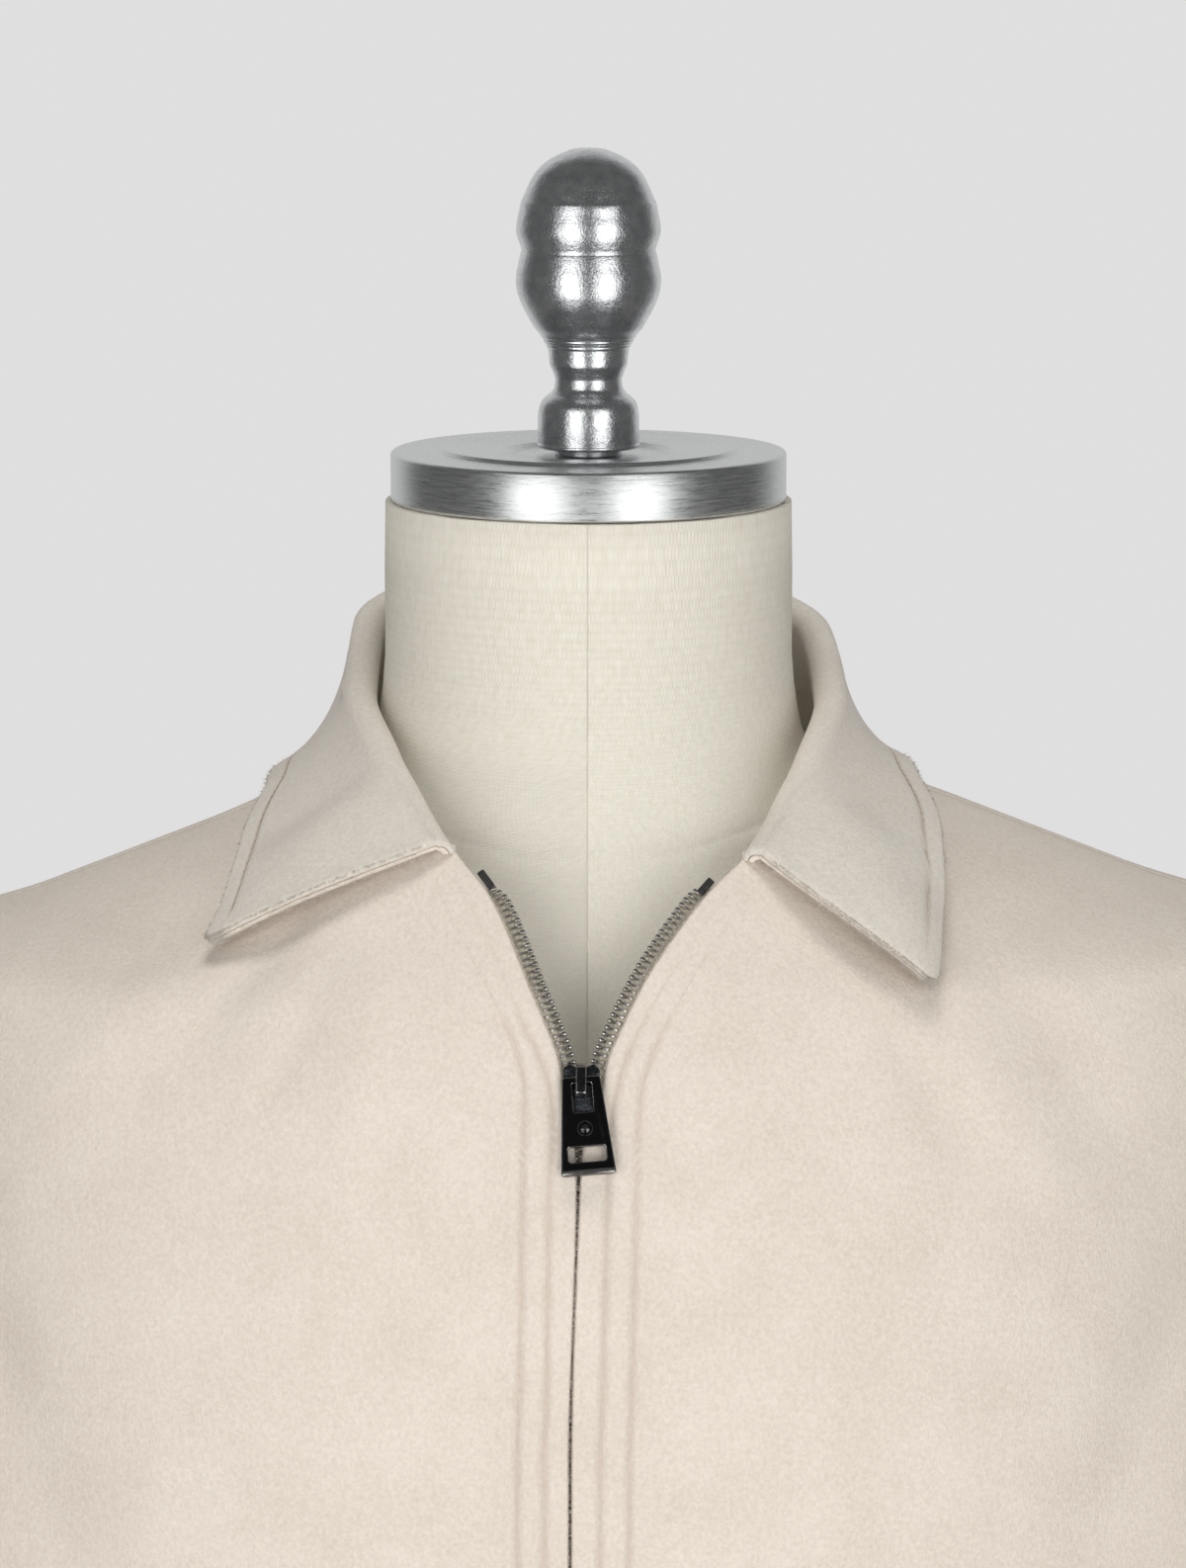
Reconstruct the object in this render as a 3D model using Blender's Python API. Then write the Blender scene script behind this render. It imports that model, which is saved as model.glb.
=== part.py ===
"""Zip-front wool overcoat on a limbless dress form.

Metres, +Z up. The floor is z = 0 and the pole stands on the Z axis. The coat faces -Y, so the
wearer's left side is at +X. Each piece of cloth is a wall whose outer points come from one
smooth surface, the coat's shell, or from sections swept along it.
"""

from math import cos, pi, radians, sin

import bmesh
import bpy
import numpy as np
from mathutils import Matrix, Vector

# ------------------------------------------------------------------ driving dimensions
WALL = 0.0025  # brushed wool coating
SEAM = 0.0003  # gap between neighbouring pieces
HEM_Z = 0.600  # the hem, at mid thigh

# The shell is read by azimuth (0 at the front, + towards the wearer's left) and by rise, the
# metres of cloth above FAN_Z. Above that height the rise turns round the axis like a fan, so
# that its lines run over the shoulders and close in on the neck.
FAN_Z = 1.300
FAN_RADIUS = 0.190
FAN_NEAREST, FAN_FURTHEST, HALVINGS = 0.02, 0.50, 44  # search along a line of the fan
NECK_TOP = 1.4955

# height, half width, front depth, back depth, squareness
COAT_SECTIONS = (
    (0.560, 0.2520, 0.1580, 0.1600, 2.20),
    (0.750, 0.2430, 0.1500, 0.1520, 2.20),
    (0.950, 0.2340, 0.1440, 0.1460, 2.20),
    (1.100, 0.2270, 0.1430, 0.1340, 2.25),
    (1.200, 0.2240, 0.1480, 0.1320, 2.30),
    (1.300, 0.2220, 0.1500, 0.1350, 2.25),
    (1.360, 0.2225, 0.1430, 0.1330, 2.10),
    (1.400, 0.2250, 0.1290, 0.1230, 1.95),
    (1.4245, 0.2240, 0.1170, 0.1120, 1.80),
    (1.445, 0.1710, 0.1060, 0.1010, 1.65),
    (1.465, 0.1190, 0.0945, 0.0900, 1.65),
    (1.480, 0.0800, 0.0835, 0.0820, 1.80),
    (1.490, 0.0700, 0.0760, 0.0760, 1.90),
)
FORM_SECTIONS = (
    (0.840, 0.1500, 0.0980, 0.1100, 2.20),
    (0.930, 0.1720, 0.1160, 0.1280, 2.20),
    (1.060, 0.1460, 0.1000, 0.1000, 2.20),
    (1.180, 0.1600, 0.1120, 0.1020, 2.20),
    (1.280, 0.1740, 0.1210, 0.1100, 2.20),
    (1.340, 0.1820, 0.1160, 0.1120, 2.10),
    (1.385, 0.1900, 0.1050, 0.1060, 2.00),
    (1.415, 0.1920, 0.0930, 0.0960, 1.80),
    (1.4408, 0.1690, 0.0820, 0.0870, 1.65),
    (1.4600, 0.1180, 0.0720, 0.0730, 1.70),
    (1.4740, 0.0775, 0.0680, 0.0685, 1.95),
    (1.490, 0.0655, 0.0640, 0.0655, 2.00),
    (1.515, 0.0624, 0.0624, 0.0624, 2.00),
    (1.550, 0.0624, 0.0624, 0.0624, 2.00),
    (1.5597, 0.0610, 0.0610, 0.0610, 2.00),
)
FORM_BOTTOM_Z, FORM_TOP_Z = 0.840, 1.5597
FORM_ROUND = 32
# rise of the form's rings: heights below the fan, then fan angles in degrees
FORM_LOW_HEIGHTS = (0.840, 0.870, 0.930, 0.995, 1.060, 1.120, 1.180, 1.240)
FORM_FAN_ANGLES = (0, 11, 21, 30, 38, 45, 51, 56, 60, 63.5, 66.5, 70, 73.5, 76.2)

# The wearer's right shoulder hangs lower, by SHOULDER_DROP past the second of two distances from
# the middle and above the second of two heights.
SHOULDER_DROP = 0.0058
DROP_X, DROP_Z = (0.060, 0.118), (1.300, 1.420)

# Drape folds: they start at FOLD_TOP and grow down to FOLD_DEPTH at the hem.
FOLD_TOP, FOLD_DEPTH = 1.150, 0.0110
FOLD_MEAN = 0.45  # strength that neither stands out nor sinks in
# azimuth in degrees, strength, width in degrees
FOLDS = (
    (-152, 0.9, 13),
    (-118, 1.0, 12),
    (-74, 0.8, 13),
    (-38, 0.6, 11),
    (33, 0.7, 12),
    (70, 0.9, 12),
    (112, 1.0, 13),
    (149, 0.8, 12),
)

# The front edges: closed below the slider, spread in a V above it.
# fan angle in degrees, x of the wearer's right edge, x of the left edge
FRONT_EDGES = (
    (-220.0, -0.0066, -0.0054),
    (0.0, -0.0058, -0.0046),
    (30.0, -0.0035, -0.0023),
    (34.0, -0.0040, -0.0014),
    (37.0, -0.0064, 0.0026),
    (42.2, -0.0083, 0.0054),
    (46.0, -0.0125, 0.0103),
    (50.0, -0.0179, 0.0167),
    (54.0, -0.0232, 0.0256),
    (57.4, -0.0291, 0.0354),
    (59.9, -0.0362, 0.0452),
    (61.3, -0.0401, 0.0510),
)

# azimuth in degrees, fan angle of the neckline on the wearer's right, and on the left
NECKLINE = ((26.1, 61.3, 60.0), (55.0, 63.2, 62.6), (90.0, 64.5, 64.5), (180.0, 66.0, 66.0))

# Armhole: an oval on the shell round azimuth 90 degrees
ARMHOLE_TOP, ARMHOLE_BOTTOM = 0.0962, -0.1000  # rise
ARMHOLE_FRONT, ARMHOLE_BACK = 19.0, 17.0  # half widths in degrees of azimuth

# Grids: rows below and above the underarm, columns that end on the neckline or the shoulder
ROWS_LOW, ROWS_HIGH = 10, 14
FRONT_NECK_COLUMNS, BACK_NECK_COLUMNS, SHOULDER_COLUMNS = 7, 12, 5
STRIP = 0.0180  # width of the column along each front edge
HALF_FRONT, ARM_REACH, NECK_REACH = 0.390, 0.220, 0.086  # half hem, shell at arm and neck
BACK_LEVEL = 0.66  # part of the back's height that is level with the underarm
FRONT_LEVEL = -0.110  # rise on the front edge that is level with the underarm row
EDGE_CROWDING = 1.5  # closes up the rows towards the top of the V
RELAX_ROUNDS = 400

# Sleeve sections, from the armhole to the cuff:
# upper x, upper z, under x, under z, half width, forward shift
SLEEVE_SECTIONS = (
    (0.2240, 1.4245, 0.2220, 1.2000, 0.0680, 0.000),
    (0.2335, 1.4213, 0.2290, 1.2040, 0.0705, 0.000),
    (0.2480, 1.4125, 0.2375, 1.2025, 0.0735, 0.001),
    (0.2680, 1.3925, 0.2430, 1.1900, 0.0785, 0.002),
    (0.2870, 1.3560, 0.2450, 1.1660, 0.0830, 0.003),
    (0.3010, 1.3020, 0.2460, 1.1320, 0.0855, 0.005),
    (0.3120, 1.2200, 0.2470, 1.0800, 0.0855, 0.009),
    (0.3210, 1.1100, 0.2480, 1.0050, 0.0825, 0.015),
    (0.3280, 0.9900, 0.2500, 0.9200, 0.0765, 0.022),
    (0.3310, 0.8800, 0.2540, 0.8450, 0.0715, 0.031),
    (0.3315, 0.7900, 0.2590, 0.7750, 0.0680, 0.040),
)
SLEEVE_RINGS = 14

# Collar, by the way round the neck from the front, wearer's right side first:
# way round in degrees, roll x, y, z (middle of the cloth, top of the stand), sweep of the roll
# in degrees and its radius, lean of the stand's foot (0 along the coat, 1 square to it), way
# round, fan angle and lift of the free edge, bow of the fall towards the hem
COLLAR = (
    (26.1, -0.0407, -0.0845, 1.4690, 100, 0.0028, 0.7, 54.9, 45.5, 0.0042, 0.0085),
    (36.0, -0.0490, -0.0690, 1.4745, 118, 0.0032, 0.4, 57.0, 49.4, 0.0046, 0.0055),
    (50.0, -0.0585, -0.0430, 1.4870, 146, 0.0032, 0.0, 64.0, 54.8, 0.0046, 0.0010),
    (75.0, -0.0668, -0.0080, 1.5000, 168, 0.0032, 0.0, 83.0, 60.7, 0.0044, 0.0),
    (115.0, -0.0655, 0.0350, 1.5160, 172, 0.0032, 0.0, 112.0, 61.8, 0.0044, 0.0),
    (180.0, 0.0000, 0.0735, 1.5290, 172, 0.0034, 0.0, 180.0, 62.2, 0.0044, 0.0),
    (245.0, 0.0680, 0.0350, 1.5130, 172, 0.0032, 0.0, 248.0, 61.6, 0.0044, 0.0),
    (285.0, 0.0712, -0.0080, 1.4985, 168, 0.0032, 0.0, 277.0, 59.8, 0.0044, 0.0),
    (311.0, 0.0632, -0.0440, 1.4840, 146, 0.0032, 0.0, 297.3, 53.6, 0.0046, 0.0030),
    (323.0, 0.0545, -0.0670, 1.4720, 118, 0.0032, 0.4, 308.9, 46.9, 0.0046, 0.0095),
    (330.4, 0.0468, -0.0841, 1.4668, 100, 0.0028, 0.7, 315.1, 41.9, 0.0042, 0.0120),
)
COLLAR_LAYER, COLLAR_GAP = 0.0018, 0.0005
COLLAR_REST = 0.0036  # least height of the cloth's middle over the coat
REST_SOFTNESS = 0.0012
STAND_STEPS, FOLD_STEPS, FALL_STEPS = 3, 5, 5
STAND_LOW, STAND_TALL = 0.006, 0.020  # heights at which the stand leans, and is upright
STAND_PULL = 0.8  # how long the stand keeps its first direction
SEAM_PROBE, EDGE_PROBE = 0.002, 0.004  # short steps up the coat that give its direction

# Zip
TAPE_WALL, TAPE_GAP = 0.0008, 0.0004  # thickness, and gap to the front's inner face
TAPE_WIDTH = 0.0125
# fan angle in degrees, how far the tape reaches past the cloth's edge
TAPE_REACH = ((34.0, -0.0009), (42.0, 0.0026), (56.3, 0.0026), (58.5, -0.0004))
TAPE_FIRST_ROW = 1  # row of the front where the tape starts
STOP_SIZE = (0.0023, 0.0066, 0.0028)  # across, along, through the tape
STOP_DOWN = {-1: 0.0120, 1: 0.0137}  # from the tape's top to the stop's, by side
STOP_GAP, STOP_BEVEL = 0.0006, 0.0004
ZIP_BOX_SIZE, ZIP_BOX_BEVEL = (0.0100, 0.0110, 0.0034), 0.0006

SLIDER_ANGLE = 40.3  # fan angle of the tab's hinge line
SLIDER_X = -0.0020
SLIDER_UP, SLIDER_DOWN = 0.0052, 0.0062  # from the hinge line to the body's ends
SLIDER_HALF_TOP, SLIDER_HALF_FOOT = 0.0051, 0.0038
SLIDER_FACE, SLIDER_BACK = 0.0006, -0.0053  # out from the shell
CHANNEL_OUT, CHANNEL_IN, WEB_HALF = -0.0026, -0.0042, 0.0011
BRIDGE_UP, BRIDGE_DOWN, BRIDGE_HALF = 0.0046, 0.0050, 0.0015
BRIDGE_HEIGHT, BRIDGE_METAL = 0.0042, 0.0013
BRIDGE_CHAMFER, BRIDGE_SUNK = 0.0009, 0.0008

TAB_TURN = 5.0  # degrees, the tab hangs a little askew
TAB_THICK = 0.0018
TAB_TOP, TAB_FOOT = -0.0010, 0.0268  # along the tab, from the hinge line
TAB_HALF_TOP, TAB_HALF_FOOT = 0.0055, 0.0080
TAB_WINDOW = (0.0009, 0.0094, 0.0031)  # from, to, half width
TAB_SLOT = (0.0190, 0.0232, 0.0053)
TAB_AXIS_OUT = 0.0021  # hinge line above the shell

# Metal cap: radius, height above the neck's top
CAP_BOTTOM_Z = 1.5600
CAP_PROFILE = (
    (0.0190, 0.0135),
    (0.0245, 0.0135),
    (0.0262, 0.0150),
    (0.0445, 0.0162),
    (0.0460, 0.0150),
    (0.0596, 0.0150),
    (0.0605, 0.0141),
    (0.0605, 0.0009),
    (0.0596, 0.0000),
)
# Turned ornament: radius, height above the cap's top face
FINIAL_SEAT_Z = 1.5738
FINIAL_PROFILE = (
    (0.0067, 0.0920),
    (0.0119, 0.0895),
    (0.0168, 0.0846),
    (0.0195, 0.0790),
    (0.0210, 0.0738),
    (0.0220, 0.0681),
    (0.0206, 0.0622),
    (0.0213, 0.0575),
    (0.0221, 0.0532),
    (0.0208, 0.0472),
    (0.0184, 0.0421),
    (0.0170, 0.0385),
    (0.0144, 0.0360),
    (0.0125, 0.0325),
    (0.0119, 0.0282),
    (0.0108, 0.0250),
    (0.0102, 0.0225),
    (0.0108, 0.0198),
    (0.0136, 0.0170),
    (0.0150, 0.0144),
    (0.0155, 0.0110),
    (0.0155, 0.0000),
)

POLE_RADIUS = 0.0160
BASE_RADIUS = 0.1850
BASE_TOP_Z = 0.0700
# Round foot: radius, height
BASE_PROFILE = (
    (0.0230, 0.0700),
    (0.0250, 0.0680),
    (0.0260, 0.0420),
    (0.0330, 0.0290),
    (0.0700, 0.0200),
    (0.1500, 0.0140),
    (0.1800, 0.0115),
    (0.1850, 0.0080),
    (0.1850, 0.0000),
)

TURNED_STEPS = {"neck_cap": 40, "finial": 24, "pole": 16, "base": 36}


# ------------------------------------------------------------------ small maths
def eased(rows, at):
    """Each column of a table, read at a position in its first column, with no overshoot."""
    rows = np.asarray(rows, float)
    at = np.asarray(at, float)
    step = np.diff(rows[:, 0])
    position = np.clip(at, rows[0, 0], rows[-1, 0])
    cell = np.clip(np.searchsorted(rows[:, 0], position, side="right") - 1, 0, len(step) - 1)
    part = (position - rows[cell, 0]) / step[cell]
    out = []
    for column in rows.T[1:]:
        slope = np.diff(column) / step
        tangent = np.zeros_like(column)
        tangent[0], tangent[-1] = slope[0], slope[-1]
        same = slope[:-1] * slope[1:] > 0
        safe = np.where(same, slope[:-1] * slope[1:], 1.0)
        tangent[1:-1] = np.where(same, 2 * safe / np.where(same, slope[:-1] + slope[1:], 1), 0)
        near, far = column[cell], column[cell + 1]
        rise_near, rise_far = tangent[cell] * step[cell], tangent[cell + 1] * step[cell]
        out.append(
            near * (1 + 2 * part) * (1 - part) ** 2
            + rise_near * part * (1 - part) ** 2
            + far * part**2 * (3 - 2 * part)
            - rise_far * part**2 * (1 - part)
        )
    return out


def smooth_step(value, low, high):
    part = np.clip((np.asarray(value, float) - low) / (high - low), 0, 1)
    return part * part * (3 - 2 * part)


def unit(vectors):
    return vectors / np.linalg.norm(vectors, axis=-1, keepdims=True)


def mixed(start, end, part):
    return start + (end - start) * part


# ------------------------------------------------------------------ the shell
def drape(azimuth, height):
    """How far the drape folds push the cloth out."""
    degrees = np.degrees(azimuth)
    total = 0.0
    for centre, strength, width in FOLDS:
        turn = (degrees - centre + 180) % 360 - 180
        total = total + strength * np.exp(-((turn / width) ** 2))
    return FOLD_DEPTH * (total - FOLD_MEAN) * smooth_step(-height, -FOLD_TOP, -HEM_Z)


def reach(sections, azimuth, height):
    """Distance of a shell from the axis, at an azimuth and a height."""
    width, front, back, square = eased(sections, height)
    across, along = np.abs(np.sin(azimuth)), np.cos(azimuth)
    depth = np.where(along > 0, front, back)
    return ((across / width) ** square + (np.abs(along) / depth) ** square) ** (-1 / square)


def fan_point(sections, azimuth, rise, top, folds=False):
    """The point where a line of the fan meets a shell."""
    azimuth, rise = np.broadcast_arrays(np.asarray(azimuth, float), np.asarray(rise, float))
    tilt = np.maximum(rise, 0) / FAN_RADIUS
    low_z = FAN_Z + np.minimum(rise, 0)
    near, far = np.full(azimuth.shape, FAN_NEAREST), np.full(azimuth.shape, FAN_FURTHEST)
    for _ in range(HALVINGS):
        middle = (near + far) / 2
        height = low_z + middle * np.sin(tilt)
        edge = reach(sections, azimuth, np.minimum(height, top))
        if folds:
            edge = edge + drape(azimuth, height)
        inside = (middle * np.cos(tilt) < edge) & (height < top)
        near, far = np.where(inside, middle, near), np.where(inside, far, middle)
    radius = near * np.cos(tilt)
    return dropped(
        np.stack(
            [radius * np.sin(azimuth), -radius * np.cos(azimuth), low_z + near * np.sin(tilt)], -1
        )
    )


def dropped(points):
    """Points with the wearer's right shoulder let down."""
    share = smooth_step(-points[..., 0], *DROP_X) * smooth_step(points[..., 2], *DROP_Z)
    return points - SHOULDER_DROP * share[..., None] * np.array([0, 0, 1])


def coat_point(azimuth, rise):
    return fan_point(COAT_SECTIONS, azimuth, rise, NECK_TOP, folds=True)


def coat_normal(azimuth, rise):
    turn, climb = 0.004, 0.0008
    along = coat_point(azimuth + turn, rise) - coat_point(azimuth - turn, rise)
    up = coat_point(azimuth, rise + climb) - coat_point(azimuth, rise - climb)
    return unit(np.cross(along, up))


def fan_rise(degrees):
    return FAN_RADIUS * np.radians(degrees)


def azimuth_at(x, rise):
    """The azimuth near the front where the shell has this x."""
    azimuth = np.zeros_like(np.asarray(x, float) + rise)
    for _ in range(8):
        point = coat_point(azimuth, rise)
        radius = np.hypot(point[..., 0], point[..., 1])
        azimuth = np.arcsin(np.clip(x / radius, -1, 1))
    return azimuth


def front_edge(rise, side, past=0.0):
    """Azimuth of a front edge, moved past it towards the zip by this many metres."""
    right, left = eased(FRONT_EDGES, np.degrees(np.asarray(rise, float) / FAN_RADIUS))
    x = right + past if side < 0 else left - past
    return azimuth_at(x, rise)


def neckline(azimuth, side):
    right, left = eased(NECKLINE, np.degrees(np.abs(azimuth)))
    return fan_rise(right if side < 0 else left)


def armhole(turn, grow=0.0):
    """Azimuth and rise on the armhole. The turn is 0 at the shoulder, + towards the front."""
    middle, half = (ARMHOLE_TOP + ARMHOLE_BOTTOM) / 2, (ARMHOLE_TOP - ARMHOLE_BOTTOM) / 2
    wide = np.where(np.sin(turn) > 0, ARMHOLE_FRONT, ARMHOLE_BACK)
    spread = (np.radians(wide) + grow / ARM_REACH) * np.sin(turn)
    return pi / 2 - spread, middle + (half + grow) * np.cos(turn)


# ------------------------------------------------------------------ meshes
def material(name, colour, roughness, metallic=0.0):
    made = bpy.data.materials.new(name)
    made.use_nodes = True
    shader = made.node_tree.nodes["Principled BSDF"]
    shader.inputs["Base Color"].default_value = (*colour, 1.0)
    shader.inputs["Roughness"].default_value = roughness
    shader.inputs["Metallic"].default_value = metallic
    made.diffuse_color = (*colour, 1.0)
    return made


def add_mesh(name, points, faces, finish):
    """A closed mesh as an object, faces turned outward, shaded smooth but for its edges."""
    mesh = bpy.data.meshes.new(name)
    mesh.from_pydata([tuple(map(float, point)) for point in points], [], faces)
    shape = bmesh.new()
    shape.from_mesh(mesh)
    bmesh.ops.recalc_face_normals(shape, faces=shape.faces)
    if shape.calc_volume(signed=True) < 0:
        bmesh.ops.reverse_faces(shape, faces=shape.faces)
    shape.to_mesh(mesh)
    shape.free()
    mesh.shade_smooth()
    mesh.set_sharp_from_angle(angle=radians(40))
    mesh.materials.append(finish)
    made = bpy.data.objects.new(name, mesh)
    bpy.context.scene.collection.objects.link(made)
    return made


def wall_faces(rows, columns, ring):
    """Faces of a wall between two grids of points: outer first, then inner."""
    layer = rows * columns
    last = columns if ring else columns - 1

    def at(row, column, inner):
        return row * columns + column % columns + inner * layer

    faces = []
    for row in range(rows - 1):
        for column in range(last):
            quad = [
                (row, column),
                (row, column + 1),
                (row + 1, column + 1),
                (row + 1, column),
            ]
            for corners in (quad[:3], [quad[0], quad[2], quad[3]]):
                faces.append([at(*corner, 0) for corner in corners])
                faces.append([at(*corner, 1) for corner in reversed(corners)])
    for row, turn in ((0, 1), (rows - 1, -1)):
        for column in range(last):
            rim = [at(row, column, 0), at(row, column, 1)]
            rim += [at(row, column + 1, 1), at(row, column + 1, 0)]
            faces.append(rim[::turn])
    if not ring:
        for column, turn in ((0, -1), (columns - 1, 1)):
            for row in range(rows - 1):
                rim = [at(row, column, 0), at(row, column, 1)]
                rim += [at(row + 1, column, 1), at(row + 1, column, 0)]
                faces.append(rim[::turn])
    return faces


def add_wall(name, outer, inner, finish, ring=False):
    rows, columns = outer.shape[:2]
    points = np.concatenate([outer.reshape(-1, 3), inner.reshape(-1, 3)])
    return add_mesh(name, points, wall_faces(rows, columns, ring), finish)


def add_turned(name, profile, bottom_z, finish):
    """A solid of revolution on the Z axis. The profile runs down its outer side."""
    steps = TURNED_STEPS[name]
    shape = bmesh.new()
    rings = []
    for radius, height in profile:
        ring = []
        for step in range(steps):
            angle = 2 * pi * step / steps
            place = (radius * cos(angle), radius * sin(angle), bottom_z + height)
            ring.append(shape.verts.new(place))
        rings.append(ring)
    for upper, lower in zip(rings, rings[1:]):
        for step in range(steps):
            after = (step + 1) % steps
            shape.faces.new((upper[step], lower[step], lower[after], upper[after]))
    shape.faces.new(rings[0])
    shape.faces.new(list(reversed(rings[-1])))
    mesh = bpy.data.meshes.new(name)
    shape.to_mesh(mesh)
    shape.free()
    points = [vertex.co[:] for vertex in mesh.vertices]
    faces = [list(face.vertices) for face in mesh.polygons]
    bpy.data.meshes.remove(mesh)
    return add_mesh(name, points, faces, finish)


# ------------------------------------------------------------------ cloth pieces
def coons(bottom, top, start, end, across, up):
    """Fills the four borders of a panel. Points are (azimuth, rise) pairs."""
    across, up = across[None, :, None], up[:, None, None]
    rails = (1 - up) * bottom[None] + up * top[None]
    sides = (1 - across) * start[:, None] + across * end[:, None]
    low = (1 - across) * bottom[0] + across * bottom[-1]
    high = (1 - across) * top[0] + across * top[-1]
    return rails + sides - ((1 - up) * low + up * high)


def relaxed(grid):
    """Evens out a panel's grid inside its borders by Winslow's equations, which keep its lines
    from folding over an inward border such as the armhole."""
    scale = np.array([ARM_REACH, 1.0])
    points = grid * scale
    for _ in range(RELAX_ROUNDS):
        east, west = points[1:-1, 2:], points[1:-1, :-2]
        north, south = points[2:, 1:-1], points[:-2, 1:-1]
        along, up = (east - west) / 2, (north - south) / 2
        corners = points[2:, 2:] - points[2:, :-2] - points[:-2, 2:] + points[:-2, :-2]
        high = np.sum(up * up, axis=-1, keepdims=True)
        wide = np.sum(along * along, axis=-1, keepdims=True)
        skew = np.sum(along * up, axis=-1, keepdims=True)
        total = high * (east + west) + wide * (north + south) - skew * corners / 2
        points[1:-1, 1:-1] = total / (2 * (high + wide))
    return points / scale


def pairs(azimuth, rise):
    return np.stack(np.broadcast_arrays(azimuth, rise), -1)


def row_parts():
    """Parts of the way up the side seam, and up the armhole."""
    return np.linspace(0, 1, ROWS_LOW + 1), np.linspace(0, 1, ROWS_HIGH + 1)[1:]


def side_border(back):
    """The side seam, then the armhole up to the shoulder, for the wearer's left."""
    low, high = row_parts()
    turn = pi * (1 - high)
    arm_azimuth, arm_rise = armhole(-turn if back else turn, SEAM)
    rise = np.concatenate([mixed(HEM_Z - FAN_Z, ARMHOLE_BOTTOM - SEAM, low), arm_rise])
    azimuth = np.concatenate([np.full(low.shape, pi / 2), arm_azimuth])
    half_gap = SEAM / 2 / ARM_REACH
    if back:
        return pairs(np.maximum(azimuth, pi / 2 + half_gap), rise)
    return pairs(np.minimum(azimuth, pi / 2 - half_gap), rise)


def shoulder_seam(back):
    """From the neckline out to the armhole, for the wearer's left."""
    rise = np.linspace(neckline(pi / 2, 1), ARMHOLE_TOP + SEAM, SHOULDER_COLUMNS + 1)
    half_gap = np.linspace(SEAM / 2 / NECK_REACH, SEAM / 2 / ARM_REACH, SHOULDER_COLUMNS + 1)
    return pairs(pi / 2 + (half_gap if back else -half_gap), rise)


def neck_turns(side):
    """Azimuths along one front's neckline, from the front edge back to the shoulder."""
    corner = COLLAR[0][0] if side < 0 else 360 - COLLAR[-1][0]
    return np.radians(np.linspace(corner, 90, FRONT_NECK_COLUMNS + 1))


def front_grid(side):
    """(azimuth, rise) over a front: rows from hem to shoulder, columns from the zip out."""
    low, high = row_parts()
    turns = neck_turns(side)
    corner_rise = float(neckline(turns[0], side))
    level = mixed(HEM_Z - FAN_Z, FRONT_LEVEL, low)
    upper = mixed(FRONT_LEVEL, corner_rise, 1 - (1 - high) ** EDGE_CROWDING)
    edge_rise = np.concatenate([level, upper])
    start = pairs(front_edge(edge_rise, side) * side, edge_rise)
    start[-1, 0] = turns[0]
    end = side_border(back=False)
    neck = pairs(turns, neckline(turns, side))
    top = np.concatenate([neck[:-1], shoulder_seam(back=False)])
    columns = FRONT_NECK_COLUMNS + SHOULDER_COLUMNS
    across = np.concatenate([[0], np.linspace(STRIP / HALF_FRONT, 1, columns)])
    bottom = pairs(mixed(start[0, 0], end[0, 0], across), HEM_Z - FAN_Z)
    up = (edge_rise - edge_rise[0]) / (edge_rise[-1] - edge_rise[0])
    grid = relaxed(coons(bottom, top, start, end, across, up))
    return grid[..., 0] * side, grid[..., 1]


def back_grid():
    """(azimuth, rise) over the back: columns from the wearer's left round to the right."""
    left = side_border(back=True)
    right = np.stack([2 * pi - left[:, 0], left[:, 1]], -1)
    shoulder = shoulder_seam(back=True)[::-1]
    turns = np.linspace(pi / 2, 3 * pi / 2, BACK_NECK_COLUMNS + 1)[1:-1]
    neck = pairs(turns, neckline(np.minimum(turns, 2 * pi - turns), 1))
    far = np.stack([2 * pi - shoulder[::-1, 0], shoulder[::-1, 1]], -1)
    top = np.concatenate([shoulder, neck, far])
    across = np.linspace(0, 1, len(top))
    bottom = pairs(mixed(left[0, 0], right[0, 0], across), HEM_Z - FAN_Z)
    low, high = row_parts()
    up = np.concatenate([low * BACK_LEVEL, mixed(BACK_LEVEL, 1, high)])
    grid = relaxed(coons(bottom, top, left, right, across, up))
    return grid[..., 0], grid[..., 1]


def cloth_wall(azimuth, rise):
    """Outer and inner points of a wall on the coat's shell."""
    outer = coat_point(azimuth, rise)
    return outer, outer - coat_normal(azimuth, rise) * WALL


def sleeve_points(side):
    """Rings of outer points, from the armhole to the cuff, and the first ring's normals."""
    turn = np.linspace(0, 2 * pi, 2 * ROWS_HIGH, endpoint=False)
    table = np.column_stack([np.linspace(0, 1, len(SLEEVE_SECTIONS)), SLEEVE_SECTIONS])
    station = np.linspace(0, 1, SLEEVE_RINGS + 1)
    upper_x, upper_z, under_x, under_z, half, forward = eased(table, station)

    mirror = np.array([side, 1, 1])
    azimuth, rise = armhole(turn)
    azimuth = azimuth * side
    points = [coat_point(azimuth, rise)]
    for ring in range(1, SLEEVE_RINGS + 1):
        upper = np.array([upper_x[ring], -forward[ring], upper_z[ring]])
        under = np.array([under_x[ring], -forward[ring], under_z[ring]])
        middle, arm = (upper + under) / 2, (upper - under) / 2
        section = middle + np.cos(turn)[:, None] * arm
        section[:, 1] -= np.sin(turn) * half[ring]
        points.append(dropped(section * mirror))
    return np.array(points), coat_normal(azimuth, rise)


def grid_normals(points, ring):
    """Normals of a grid of points, by the directions to its neighbours."""
    down = np.gradient(points, axis=0)
    if ring:
        across = np.roll(points, -1, axis=1) - np.roll(points, 1, axis=1)
    else:
        across = np.gradient(points, axis=1)
    return unit(np.cross(across, down))


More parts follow.
